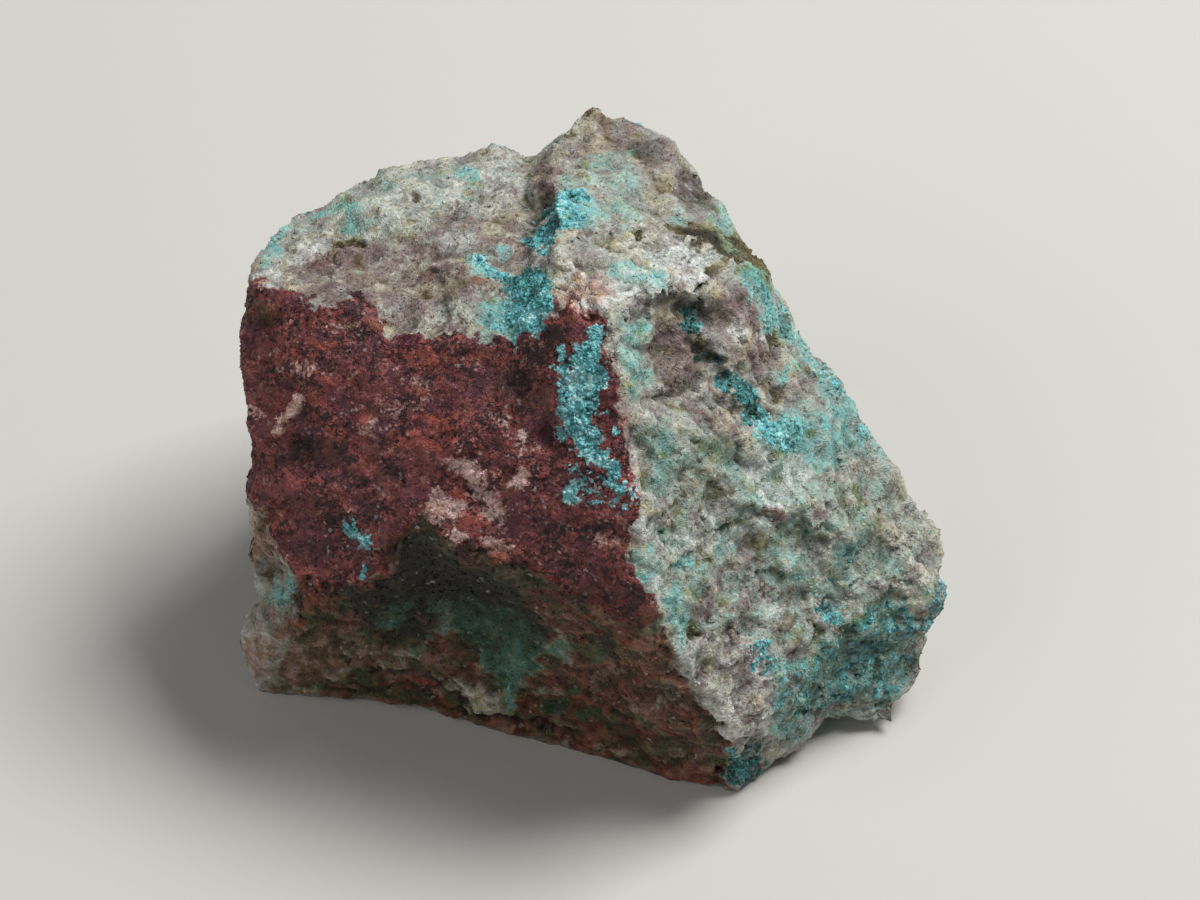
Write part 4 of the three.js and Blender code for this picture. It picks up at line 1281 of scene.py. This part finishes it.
def make_piece(
    name: str,
    points_mm: np.ndarray,
    triangles: np.ndarray,
    values: dict[str, np.ndarray],
    smooth: bool = True,
) -> bpy.types.Object:
    """Makes a mesh object that rides on the chunk's body.

    Args:
        name: The piece's name.
        points_mm: One row of x, y, z for each point, in millimetres.
        triangles: One row of three point numbers for each triangle.
        values: Numbers to keep at the points, by name.
        smooth: Whether light runs smoothly over its edges.

    Returns:
        The new object.
    """
    mesh = bpy.data.meshes.new(name)
    mesh.vertices.add(len(points_mm))
    mesh.vertices.foreach_set("co", (points_mm * MM).astype(np.float32).ravel())
    mesh.loops.add(triangles.size)
    mesh.loops.foreach_set("vertex_index", triangles.astype(np.int32).ravel())
    mesh.polygons.add(len(triangles))
    mesh.polygons.foreach_set("loop_start", np.arange(0, triangles.size, 3, dtype=np.int32))
    for key, numbers in values.items():
        layer = mesh.attributes.new(key, "FLOAT", "POINT")
        layer.data.foreach_set("value", numbers.astype(np.float32))
    mesh.update(calc_edges=True)
    mesh.validate()
    if smooth:
        mesh.shade_smooth()
    else:
        mesh.shade_flat()
    piece = bpy.data.objects.new(name, mesh)
    bpy.context.scene.collection.objects.link(piece)
    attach(piece, ROOT_BODY)
    return piece


def add_node(
    tree: bpy.types.NodeTree, kind: str, inputs: dict[str | int, object], **settings: object
) -> bpy.types.Node:
    """Adds a node with its settings, values and links.

    Args:
        tree: The node tree it goes into.
        kind: Blender's name for the kind of node.
        inputs: A value, or a socket to link from, for each named or numbered input.
        **settings: The node's own settings.

    Returns:
        The new node.
    """
    node = tree.nodes.new(kind)
    for name, value in settings.items():
        setattr(node, name, value)
    for key, value in inputs.items():
        if isinstance(value, Socket):
            tree.links.new(value, node.inputs[key])
        else:
            node.inputs[key].default_value = value
    return node


@dataclass
class Shades:
    """The node tree of one finish, with short ways to add patterns and colours to it."""

    tree: bpy.types.NodeTree
    place: Socket

    def value(self, zone: Zone) -> Socket:
        """Reads how much of a zone lies here."""
        return self.number(zone.value)

    def number(self, name: str) -> Socket:
        """Reads a number that the mesh keeps."""
        return add_node(self.tree, "ShaderNodeAttribute", {}, attribute_name=name).outputs["Fac"]

    def clouds(
        self, period_mm: float, detail: float, rough: float = 0.6, flatten: float = 1.0
    ) -> tuple[Socket, ...]:
        """Gives three separate cloudy patterns from 0 to 1.

        Args:
            period_mm: Size of the largest clouds.
            detail: How many times finer clouds are added.
            rough: How strong the finer clouds are.
            flatten: Under 1, draws the clouds out along X.

        Returns:
            The three patterns.
        """
        stretch = {0: self.place, 1: (flatten, 1.0, 1.0)}
        where = add_node(self.tree, "ShaderNodeVectorMath", stretch, operation="MULTIPLY")
        scale = 1.0 / (period_mm * MM)
        inputs = {"Vector": where.outputs[0], "Scale": scale, "Detail": detail, "Roughness": rough}
        field = add_node(self.tree, "ShaderNodeTexNoise", inputs)
        return tuple(add_node(self.tree, "ShaderNodeSeparateXYZ", {0: field.outputs["Color"]}).outputs)

    def grains(self, size_mm: float) -> tuple[Socket, ...]:
        """Gives each grain three random numbers from 0 to 1.

        Args:
            size_mm: How wide a grain is.

        Returns:
            The three numbers.
        """
        inputs = {"Vector": self.place, "Scale": 1.0 / (size_mm * MM)}
        cells = add_node(self.tree, "ShaderNodeTexVoronoi", inputs)
        return tuple(add_node(self.tree, "ShaderNodeSeparateXYZ", {0: cells.outputs["Color"]}).outputs)

    def sum(self, base: float, *terms: tuple[Socket, float]) -> Socket:
        """Adds up patterns on top of a base.

        Args:
            base: What the sum starts from.
            *terms: Patterns, each with its weight.

        Returns:
            The sum.
        """
        total: Socket | float = base
        for pattern, weight in terms:
            inputs = {0: pattern, 1: weight, 2: total}
            total = add_node(self.tree, "ShaderNodeMath", inputs, operation="MULTIPLY_ADD").outputs[0]
        return total

    def times(self, first: Socket, second: Socket) -> Socket:
        """Multiplies two numbers."""
        return add_node(self.tree, "ShaderNodeMath", {0: first, 1: second}, operation="MULTIPLY").outputs[0]

    def rise(self, value: Socket, low: float, high: float, top: float = 1.0) -> Socket:
        """Rises smoothly from 0 to a top.

        Args:
            value: What it follows.
            low: The value where the rise starts.
            high: The value where it ends; it may be below low for a fall.
            top: How high it rises.

        Returns:
            The risen number.
        """
        inputs = {"Value": value, "From Min": low, "From Max": high, "To Max": top}
        node = add_node(self.tree, "ShaderNodeMapRange", inputs, interpolation_type="SMOOTHSTEP")
        return node.outputs[0]

    def mix(self, share: Socket | float, first: object, second: object, how: str = "MIX") -> Socket:
        """Mixes two colours, each a socket or an sRGB hex colour.

        Args:
            share: How much of the second colour is taken, from 0 to 1.
            first: The colour below.
            second: The colour laid over it.
            how: Blender's name for the way they mix.

        Returns:
            The mixed colour.
        """
        colours = [linear_colour(c) if isinstance(c, str) else c for c in (first, second)]
        inputs = {0: share, 6: colours[0], 7: colours[1]}
        return add_node(self.tree, "ShaderNodeMix", inputs, data_type="RGBA", blend_type=how).outputs[2]


@dataclass
class RockShades(Shades):
    """The chunk's node tree, with the patterns of the broken surface that its finishes share.

    The mottles of the rock are one to two millimetres wide, with finer ones of about half a
    millimetre. Quartz grains are 0.1 to 0.3 mm across and beads of ajoite a little more. Dust is
    finer than 0.05 mm, too fine to show in the render, so the grit is drawn at 0.12 mm.
    """

    broad_mm: float = 1.6
    fine_mm: float = 0.65
    bead_mm: float = 0.33
    grain_mm: float = 0.18
    grit_mm: float = 0.12
    crest_mm: float = 0.18

    def __post_init__(self) -> None:
        """Makes the patterns; crest, 0 in the break's hollows and 1 on its crests, paints shade and light.
        """
        self.broad = self.clouds(self.broad_mm, 3.0, 0.55)
        self.fine = self.clouds(self.fine_mm, 4.0, 0.65)
        self.bead = self.grains(self.bead_mm)
        self.grain = self.grains(self.grain_mm)
        self.grit = self.clouds(self.grit_mm, 1.0)[0]
        self.crest = self.rise(self.number(CREST), -self.crest_mm, self.crest_mm)


@dataclass(frozen=True)
class GreyQuartz:
    """Massive vein quartz, roughly broken: mottled beige, mauve grey and milky white."""

    # Its grains broke along small facets that face every way, so it looks sugary and has no sheen.
    # Clay and iron dust tint it beige and mauve, and fine cracks and fluid make it milky in places.
    beige: str = "#a2a69e"
    mauve: str = "#84716d"
    umber: str = "#54473f"
    milky: str = "#cfd3cf"
    cream: str = "#aaa283"

    def colour(self, shades: RockShades) -> Socket:
        """Mottles the bare quartz.

        Args:
            shades: The chunk's node tree with its patterns.

        Returns:
            The bare quartz colour.
        """
        broad, fine, grain = shades.broad, shades.fine, shades.grain
        terms = ((broad[0], 1.9), (fine[1], 0.9), (grain[0], 0.3))
        lean = shades.sum(-1.25, (shades.value(Zone.MAUVE), 0.8), *terms)
        body = shades.mix(shades.rise(lean, 0.1, 0.9), self.beige, self.mauve)
        body = shades.mix(shades.rise(broad[1], 0.45, 0.7, 0.75), body, self.cream)
        # The crest term gathers the dark flecks in the hollows, a little painted shade.
        flecks = shades.sum(0.0, (fine[0], 1.0), (shades.crest, 0.2), (grain[0], 0.12))
        body = shades.mix(shades.rise(flecks, 0.64, 0.42, 0.8), body, self.umber)
        terms = ((fine[2], 1.7), (broad[1], 0.9), (grain[1], 0.2))
        milk = shades.sum(-1.35, (shades.value(Zone.PALE_AND_PAINTED_LIGHT), 0.75), *terms)
        return shades.mix(shades.rise(milk, 0.05, 0.8, 0.95), body, self.milky)


@dataclass(frozen=True)
class IronStain:
    """Hematite that water left on the face of a natural joint: dull plum to brick red."""

    # It is dull earth, not shiny ore. It lies in fine level streaks, nearly black where it is thick,
    # wine and brick red where it is thin, and pink where it has chipped off the quartz.
    black: str = "#29110f"
    maroon: str = "#85423f"
    brick: str = "#9c4a3d"
    wine: str = "#6a3343"
    earth: str = "#6d4a2c"
    pink: str = "#d0b0a8"
    streak_mm: float = 0.75
    flatten: float = 0.5

    def colour(self, shades: RockShades) -> Socket:
        """Streaks and mottles the stained face.

        Args:
            shades: The chunk's node tree with its patterns.

        Returns:
            The stained face's colour.
        """
        streaks = shades.clouds(self.streak_mm, 5.0, 0.75, self.flatten)
        grains = ((shades.grain[0], 0.5), (shades.grit, 0.7))
        dark = shades.sum(-1.7, (streaks[1], 1.2), (shades.broad[1], 1.4), *grains)
        thin = shades.rise(dark, 0.0, 0.4)
        body = shades.mix(shades.rise(dark, -0.06, 0.42), self.black, self.maroon)
        body = shades.mix(shades.rise(shades.broad[2], 0.44, 0.62, 0.6), body, self.wine)
        terms = ((shades.fine[0], 1.2), (shades.broad[1], 0.8))
        earthy = shades.sum(-1.0, (shades.value(Zone.OLIVE), 0.6), *terms)
        body = shades.mix(shades.times(shades.rise(earthy, 0.0, 0.4), thin), body, self.earth)
        warm = shades.sum(-1.0, (shades.value(Zone.RUST_AND_WARM_LIGHT), 0.6), (streaks[0], 1.3), (shades.broad[0], 0.9))
        body = shades.mix(shades.times(shades.rise(warm, 0.0, 0.6), thin), body, self.brick)
        pale = shades.sum(-1.66, (shades.value(Zone.PALE_AND_PAINTED_LIGHT), 0.75), (streaks[2], 1.9), *grains)
        return shades.mix(shades.rise(pale, 0.12, 0.85, 0.95), body, self.pink)


@dataclass(frozen=True)
class AjoiteCrust:
    """Ajoite, a blue-green copper silicate, grown from water as films and felted crusts."""

    # Light scatters among its hair-thin needles, so a thick crust is matt turquoise with a frosty
    # bloom on its crests, and a thin film only tints the quartz. The needles are about 0.01 mm
    # wide, too fine to show, so the crust is drawn as the beads of needles that the eye sees.
    frost: str = "#c2e0dc"
    cyan: str = "#6bb6bb"
    teal: str = "#3a7f80"
    # night, dusk and shadow are the dark teals that the deep zone brings out, partly painted shade.
    night: str = "#16453b"
    haze: str = "#98b8ac"
    dusk: str = "#476350"
    film: str = "#6cb4b4"
    shadow: str = "#1e5244"

    def colour(self, shades: RockShades) -> Socket:
        """Shades the crust, frosty on the beads and deeper where the deep zone lies, partly painted shade.

        Args:
            shades: The chunk's node tree with its patterns.

        Returns:
            The crust's colour.
        """
        terms = ((shades.fine[1], 1.8), (shades.broad[1], 0.9), (shades.grain[1], 0.55))
        tone = shades.sum(-1.17, *terms, (shades.value(Zone.DEEP_AND_SHADE), -0.62))
        body = shades.mix(shades.rise(tone, -0.35, 0.15), self.night, self.teal)
        body = shades.mix(shades.rise(tone, 0.1, 0.45), body, self.cyan)
        return shades.mix(shades.rise(tone, 0.5, 1.05, 0.9), body, self.frost)

    def tint(self, shades: RockShades, below: Socket) -> Socket:
        """Tints what lies below with the thin film, pale where it is thinnest.

        Args:
            shades: The chunk's node tree with its patterns.
            below: The colour of what lies below.

        Returns:
            The tinted colour.
        """
        terms = ((shades.broad[2], 1.6), (shades.fine[1], 1.2), (shades.grain[2], 0.3))
        film = shades.sum(-1.92, (shades.value(Zone.WASH), 1.0), *terms)
        # The deep zone darkens the film, partly as painted shade in hollows and under ledges.
        deep = shades.mix(shades.value(Zone.DEEP_AND_SHADE), self.film, self.shadow)
        thin = shades.mix(shades.value(Zone.DEEP_AND_SHADE), self.haze, self.dusk)
        tinted = shades.mix(shades.rise(film, -0.1, 0.45, 0.8), below, thin)
        return shades.mix(shades.rise(film, 0.25, 0.85, 0.85), tinted, deep)

    def cover(self, shades: RockShades) -> Socket:
        """Spreads the crust, with an edge that breaks up into single beads.

        Args:
            shades: The chunk's node tree with its patterns.

        Returns:
            1 where the crust lies and 0 where it doesn't.
        """
        terms = ((shades.fine[0], 1.3), (shades.bead[0], 0.45), (shades.grain[0], 0.25))
        share = shades.sum(-1.0, (shades.value(Zone.AJOITE), 1.0), *terms)
        return shades.rise(share, 0.42, 0.62)


@dataclass(frozen=True)
class RockFinish:
    """The stone's whole finish: broken quartz, stained, filmed and crusted as the zones say."""

    # Quartz is glass-like, with an index near 1.5, but a break of small grains scatters its gloss:
    # it looks dry and rough, with a glint here and there, painted white on a few grains. The pale
    # rock drifts between ochre and lilac, and umber and moss-coloured soil fills the pores of the
    # lower facet and darkens it, partly as painted shade.
    name: str
    quartz: GreyQuartz = GreyQuartz()
    iron: IronStain = IronStain()
    ajoite: AjoiteCrust = AjoiteCrust()
    olive: str = "#5c5330"
    # rust is also the painted warm light on the lower left lobe.
    rust: str = "#a67568"
    # umber and moss are soil, and also darken the lower facet as painted shade.
    umber: str = "#c26843"
    moss: str = "#85905f"
    ochre: str = "#d6c48c"
    lilac: str = "#c8bac4"
    # film is the near-black of the dark zone: dark stains, and painted shade in hollows and cracks.
    film: str = "#17130d"
    # sugar is the white of the painted glints.
    sugar: str = "#e8e6e0"
    roughness: float = 0.55
    bump_mm: float = 0.09

    def build(self) -> bpy.types.Material:
        """Makes the material.

        Returns:
            The material, which reads the zones from the mesh that wears it.
        """
        material = bpy.data.materials.new(self.name)
        material.use_nodes = True
        tree = material.node_tree
        tree.nodes.clear()
        shades = RockShades(tree, add_node(tree, "ShaderNodeTexCoord", {}).outputs["Object"])
        colour = self.colour(shades)
        terms = ((shades.grit, 0.7), (shades.grain[0], 0.3), (shades.fine[2], 1.6))
        height = shades.sum(0.0, *terms)
        bump = add_node(tree, "ShaderNodeBump", {"Height": height, "Distance": self.bump_mm * MM})
        inputs = {"Base Color": colour, "Roughness": self.roughness, "Normal": bump.outputs[0]}
        shader = add_node(tree, "ShaderNodeBsdfPrincipled", inputs)
        add_node(tree, "ShaderNodeOutputMaterial", {0: shader.outputs[0]})
        return material

    def colour(self, shades: RockShades) -> Socket:
        """Lays the stains, films and crusts over the quartz, from the bottom up.

        Args:
            shades: The chunk's node tree with its patterns.

        Returns:
            The colour that the eye meets.
        """
        colour = self.stained(shades, self.quartz.colour(shades))
        colour = self.ajoite.tint(shades, colour)
        plum = self.spread(shades, Zone.PLUM, -0.6, (shades.fine[0], 0.8), (shades.bead[1], 0.35))
        colour = shades.mix(shades.rise(plum, 0.33, 0.66), colour, self.iron.colour(shades))
        colour = self.dusted(shades, self.drifted(shades, colour))
        crust = self.ajoite.colour(shades)
        colour = shades.mix(self.ajoite.cover(shades), colour, crust)
        # The dark zone lays near-black over dark stains and, as painted shade, into hollows, pits, cracks
        # and the cleft under the ledge.
        dark_and_shade = self.spread(shades, Zone.DARK_STAIN_AND_SHADE, -0.5, (shades.fine[1], 0.6), (shades.broad[2], 0.4))
        colour = shades.mix(shades.rise(dark_and_shade, 0.0, 1.1), colour, self.film)
        return self.grained(shades, colour)

    def spread(self, shades: RockShades, zone: Zone, base: float, *terms: tuple[Socket, float]) -> Socket:
        """Spreads a zone, with an edge that patterns break up.

        Args:
            shades: The chunk's node tree with its patterns.
            zone: What is spread.
            base: What the sum starts from.
            *terms: Patterns, each with its weight.

        Returns:
            How much of the zone lies here.
        """
        return shades.sum(base, (shades.value(zone), 1.0), *terms)

    def stained(self, shades: RockShades, colour: Socket) -> Socket:
        """Stains with rust, partly painted warm light, and olive grime, thicker in hollows as painted
        shade.

        Args:
            shades: The chunk's node tree with its patterns.
            colour: The quartz colour.

        Returns:
            The stained colour.
        """
        rust = self.spread(shades, Zone.RUST_AND_WARM_LIGHT, -0.9, (shades.fine[0], 1.6))
        colour = shades.mix(shades.rise(rust, 0.2, 0.9, 0.8), colour, self.rust)
        # The crest term thickens the dark olive in the hollows as painted shade.
        terms = ((shades.fine[1], 1.8), (shades.grain[1], 0.2), (shades.crest, -0.5))
        olive = shades.sum(-0.82, (shades.value(Zone.OLIVE), 1.1), *terms)
        return shades.mix(shades.rise(olive, 0.2, 0.8, 0.9), colour, self.olive)

    def drifted(self, shades: RockShades, colour: Socket) -> Socket:
        """Lets the colour drift between ochre and lilac, as the iron in the rock does.

        Args:
            shades: The chunk's node tree with its patterns.
            colour: The colour below.

        Returns:
            The drifting colour.
        """
        terms = ((shades.fine[2], 1.0), (shades.broad[2], 0.6))
        drift = shades.sum(0.0, (shades.value(Zone.OLIVE), 0.25), *terms)
        colour = shades.mix(shades.rise(drift, 0.84, 1.04, 0.85), colour, self.ochre, "MULTIPLY")
        cold = shades.sum(0.0, (drift, 1.0), (shades.value(Zone.PALE_AND_PAINTED_LIGHT), 0.2))
        return shades.mix(shades.rise(cold, 0.8, 0.58, 0.7), colour, self.lilac, "MULTIPLY")

    def dusted(self, shades: RockShades, colour: Socket) -> Socket:
        """Lays umber and moss-coloured soil over the lower facet, darkening it partly as painted shade.

        Args:
            shades: The chunk's node tree with its patterns.
            colour: The colour below.

        Returns:
            The dusted colour.
        """
        umber = self.spread(shades, Zone.UMBER_AND_SHADE, -0.85, (shades.broad[0], 1.1), (shades.fine[2], 0.6))
        mossy = shades.sum(0.0, (shades.broad[2], 0.7), (shades.fine[1], 0.3))
        dust = shades.mix(shades.rise(mossy, 0.46, 0.56), self.umber, self.moss)
        return shades.mix(shades.rise(umber, 0.05, 1.1), colour, dust, "MULTIPLY")

    def grained(self, shades: RockShades, colour: Socket) -> Socket:
        """Gives each grain its own lightness, paints light on crests, shade in hollows and a few glints.

        Args:
            shades: The chunk's node tree with its patterns.
            colour: The colour below.

        Returns:
            The grained colour.
        """
        grain = shades.grain
        # The crest term paints light on the crests of the break and shade in its hollows.
        light = shades.sum(0.28, (grain[1], 0.32), (shades.grit, 0.6), (shades.crest, 0.5))
        grey = add_node(shades.tree, "ShaderNodeCombineColor", {0: light, 1: light, 2: light})
        colour = shades.mix(1.0, colour, grey.outputs[0], "MULTIPLY")
        # A few grains are painted white as glints.
        painted_glint = shades.sum(0.0, (grain[2], 1.0), (shades.fine[2], 0.5))
        return shades.mix(shades.rise(painted_glint, 1.2, 1.35, 0.4), colour, self.sugar)


class GrainShape(Enum):
    """The forms of the grains that stand on the rock."""

    SPLINTER = "splinter"
    BEAD = "bead"

    def mesh(self) -> tuple[np.ndarray, np.ndarray]:
        """Makes the form: a long eight-sided splinter or a round bead.

        Returns:
            Its corners, about 1 from its middle, and its triangles.
        """
        if self is GrainShape.SPLINTER:
            wide, thick, long = 1.0, 0.8, 1.3
            belt = [(wide, 0, 0), (-wide, 0, 0), (0, thick, 0), (0, -thick, 0)]
            corners = np.array([*belt, (0, 0, long), (0, 0, -long)], dtype=float)
            pairs = ((0, 2), (2, 1), (1, 3), (3, 0))
            upper = [(here, after, 4) for here, after in pairs]
            lower = [(after, here, 5) for here, after in pairs]
            return corners, np.array(upper + lower)
        work = bmesh.new()
        bmesh.ops.create_icosphere(work, subdivisions=1, radius=1.0)
        corners = np.array([vertex.co[:] for vertex in work.verts])
        triangles = np.array([[v.index for v in face.verts] for face in work.faces])
        work.free()
        return corners, triangles


@dataclass(frozen=True)
class GrainCover:
    """Crystal grains strewn over the skin as one joined mesh.

    smallest and largest are a grain's half width in millimetres, and sunk is the share of its
    width that sits in the rock.
    """

    name: str
    slot: str
    shape: GrainShape
    number: int
    smallest: float
    largest: float
    sunk: float
    seed: int
    fewer_large: float = 2.5
    thinnest: float = 0.65
    thickest: float = 1.1

    def build(
        self,
        skin: FineMesh,
        kept: dict[str, np.ndarray],
        density: np.ndarray,
        box: tuple[np.ndarray, ...],
    ) -> bpy.types.Object:
        """Strews the grains.

        Args:
            skin: The skin that they sit on.
            kept: Numbers kept at the skin's points, which the grains take on.
            density: How thickly they lie at the skin's points.
            box: The lowest and highest corner that they stay between.

        Returns:
            The joined mesh's object.
        """
        rng = np.random.default_rng(self.seed)
        corners = skin.points[skin.triangles]
        crosses = np.cross(corners[:, 1] - corners[:, 0], corners[:, 2] - corners[:, 0])
        doubled = np.linalg.norm(crosses, axis=1)
        sums = np.cumsum(doubled * density[skin.triangles].mean(axis=1))
        chosen = np.searchsorted(sums, rng.random(self.number) * sums[-1])
        weights = rng.dirichlet((1.0, 1.0, 1.0), self.number)
        spots = np.einsum("nk,nkd->nd", weights, corners[chosen])
        outward = crosses[chosen] / doubled[chosen, None]
        size = self.smallest + (self.largest - self.smallest) * rng.random(self.number) ** self.fewer_large
        spots += outward * (size * (1.0 - 2.0 * self.sunk))[:, None]
        form, triangles = self.shape.mesh()
        stretch = rng.uniform(self.thinnest, self.thickest, (self.number, 1, 3)) * size[:, None, None]
        points = np.einsum("nij,nkj->nki", random_turns(rng, self.number), form * stretch)
        points = np.clip(points + spots[:, None, :], *box).reshape(-1, 3)
        offsets = np.arange(self.number)[:, None, None] * len(form)
        values = {}
        for key, value in kept.items():
            at_grain = (value[skin.triangles[chosen]] * weights).sum(axis=1)
            values[key] = np.repeat(at_grain, len(form))
        faces = (triangles + offsets).reshape(-1, 3)
        LOG.info("%s has %d triangles", self.name, len(faces))
        return make_piece(self.name, points, faces, values, smooth=self.shape is GrainShape.BEAD)


def random_turns(rng: np.random.Generator, number: int) -> np.ndarray:
    """Makes random rotations.

    Args:
        rng: The random numbers to draw from.
        number: How many rotations to make.

    Returns:
        One 3 by 3 matrix for each.
    """
    spins = rng.normal(size=(number, 4))
    w, x, y, z = (spins / np.linalg.norm(spins, axis=1)[:, None]).T
    rows = (
        (1 - 2 * (y * y + z * z), 2 * (x * y - z * w), 2 * (x * z + y * w)),
        (2 * (x * y + z * w), 1 - 2 * (x * x + z * z), 2 * (y * z - x * w)),
        (2 * (x * z - y * w), 2 * (y * z + x * w), 1 - 2 * (x * x + y * y)),
    )
    return np.array(rows).transpose(2, 0, 1)


@dataclass(frozen=True)
class SoftLight:
    """A soft square light that looks at the chunk; metres, and a way as right, up and toward."""

    name: str
    way: tuple[float, float, float]
    distance: float
    side: float
    watts: float

    def build(self, view: PhotoView) -> None:
        """Hangs the light.

        Args:
            view: The photograph's view, whose middle it looks at.
        """
        data = bpy.data.lights.new(self.name, "AREA")
        data.size = self.side
        data.energy = self.watts
        light = bpy.data.objects.new(self.name, data)
        right, up, toward = (Vector(axis) * share for axis, share in zip(view.axes(), self.way))
        way = right + up + toward
        light.location = Vector(view.middle) * MM + way.normalized() * self.distance
        light.rotation_euler = way.to_track_quat("Z", "Y").to_euler()
        bpy.context.scene.collection.objects.link(light)


@dataclass(frozen=True)
class Studio:
    """A plain pale floor of matt board, soft light from above, and the photograph's camera."""

    view: PhotoView
    floor_side: float = 1.2
    floor_colour: str = "#cfccc6"
    floor_roughness: float = 0.9
    air_colour: tuple[float, float, float, float] = (0.9, 0.95, 1.0, 1.0)
    air_strength: float = 0.12
    lights: tuple[SoftLight, ...] = (
        SoftLight("key_light", way=(0.45, 0.75, 0.5), distance=0.45, side=0.22, watts=2.3),
        SoftLight("fill_light", way=(-0.7, 0.1, 0.7), distance=0.5, side=0.4, watts=0.55),
    )

    def build(self) -> None:
        """Makes the camera, the floor and the lights."""
        self.view.add_camera()
        self.add_floor()
        for light in self.lights:
            light.build(self.view)
        world = bpy.data.worlds.new("studio_air")
        world.use_nodes = True
        air = world.node_tree.nodes["Background"]
        air.inputs["Color"].default_value = self.air_colour
        air.inputs["Strength"].default_value = self.air_strength
        bpy.context.scene.world = world
        bpy.context.scene.view_settings.view_transform = "Standard"

    def add_floor(self) -> None:
        """Lays the floor at the height the chunk rests on."""
        half = self.floor_side / 2
        mesh = bpy.data.meshes.new("floor")
        corners = [(-half, -half, 0.0), (half, -half, 0.0), (half, half, 0.0), (-half, half, 0.0)]
        mesh.from_pydata(corners, [], [(0, 1, 2, 3)])
        floor = bpy.data.objects.new("floor", mesh)
        bpy.context.scene.collection.objects.link(floor)
        material = bpy.data.materials.new("pale_board")
        material.use_nodes = True
        shader = material.node_tree.nodes["Principled BSDF"]
        shader.inputs["Base Color"].default_value = linear_colour(self.floor_colour)
        shader.inputs["Roughness"].default_value = self.floor_roughness
        mesh.materials.append(material)
        floor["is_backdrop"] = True


QUARTZ_GRAINS = GrainCover(
    "quartz_grains", "quartz_rock", GrainShape.SPLINTER,
    number=22000, smallest=0.04, largest=0.14, sunk=0.6, seed=11,
)
QUARTZ_SUGAR = GrainCover(
    "quartz_sugar", "quartz_rock", GrainShape.SPLINTER,
    number=24000, smallest=0.03, largest=0.07, sunk=0.5, seed=12,
)
IRON_GRAINS = GrainCover(
    "iron_grains", "quartz_rock", GrainShape.SPLINTER,
    number=16000, smallest=0.03, largest=0.1, sunk=0.55, seed=13,
)
AJOITE_GRAINS = GrainCover(
    "ajoite_grains", "ajoite_crust", GrainShape.BEAD,
    number=9800, smallest=0.05, largest=0.17, sunk=0.6, seed=14,
)


@dataclass(frozen=True)
class GrainedRock:
    """All the grains on the chunk: thick in the photograph's view and thin on the hidden sides."""

    view: PhotoView
    hidden_facing: float = -0.2
    seen_facing: float = 0.1
    hidden_share: float = 0.35
    bare_from: float = 1.1
    deep_loss: float = 0.6
    clear_below: float = 0.3
    full_above: float = 0.8

    def covers(self, mesh: FineMesh, kept: dict[str, np.ndarray]) -> list[tuple[GrainCover, np.ndarray]]:
        """Works out how thickly each kind of grain lies.

        Args:
            mesh: The skin's mesh.
            kept: Numbers kept at the skin's points.

        Returns:
            Each cover with its density at the skin's points.
        """
        seen = ease(self.hidden_facing, self.seen_facing, self.view.facing(mesh.normals()))
        seen = self.hidden_share + (1.0 - self.hidden_share) * seen
        off_floor = ease(self.clear_below, self.full_above, mesh.points[:, 2])
        plum, ajoite = kept[Zone.PLUM.value], kept[Zone.AJOITE.value]
        bare = np.clip(self.bare_from - plum - ajoite, 0.0, 1.0)
        crusted = ajoite**2 * (1.0 - self.deep_loss * kept[Zone.DEEP_AND_SHADE.value])
        kinds = ((QUARTZ_GRAINS, bare), (QUARTZ_SUGAR, bare), (IRON_GRAINS, plum), (AJOITE_GRAINS, crusted))
        return [(cover, density * seen * off_floor) for cover, density in kinds]


def main() -> None:
    """Builds the chunk's looks in order."""
    logging.basicConfig(level=logging.INFO, format="%(message)s")
    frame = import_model()
    solid_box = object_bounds()
    view = PhotoView()
    Studio(view).build()
    marked = MarkedRock(view, HiddenSides())
    skin, mesh, kept = ChunkSkin(marked).build(frame["nodes"][STONE_NODE])
    finish = RockFinish("broken_ajoite_quartz").build()
    skin.data.materials.append(finish)
    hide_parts(STONE_NODE)
    LOG.info("built %s", skin.name)
    box = tuple(np.array(corner) / MM for corner in solid_box)
    for cover, density in GrainedRock(view).covers(mesh, kept):
        grains = cover.build(mesh, kept, density, box)
        grains.data.materials.append(finish)
        LOG.info("built %s", grains.name)


if __name__ == "__main__":
    main()
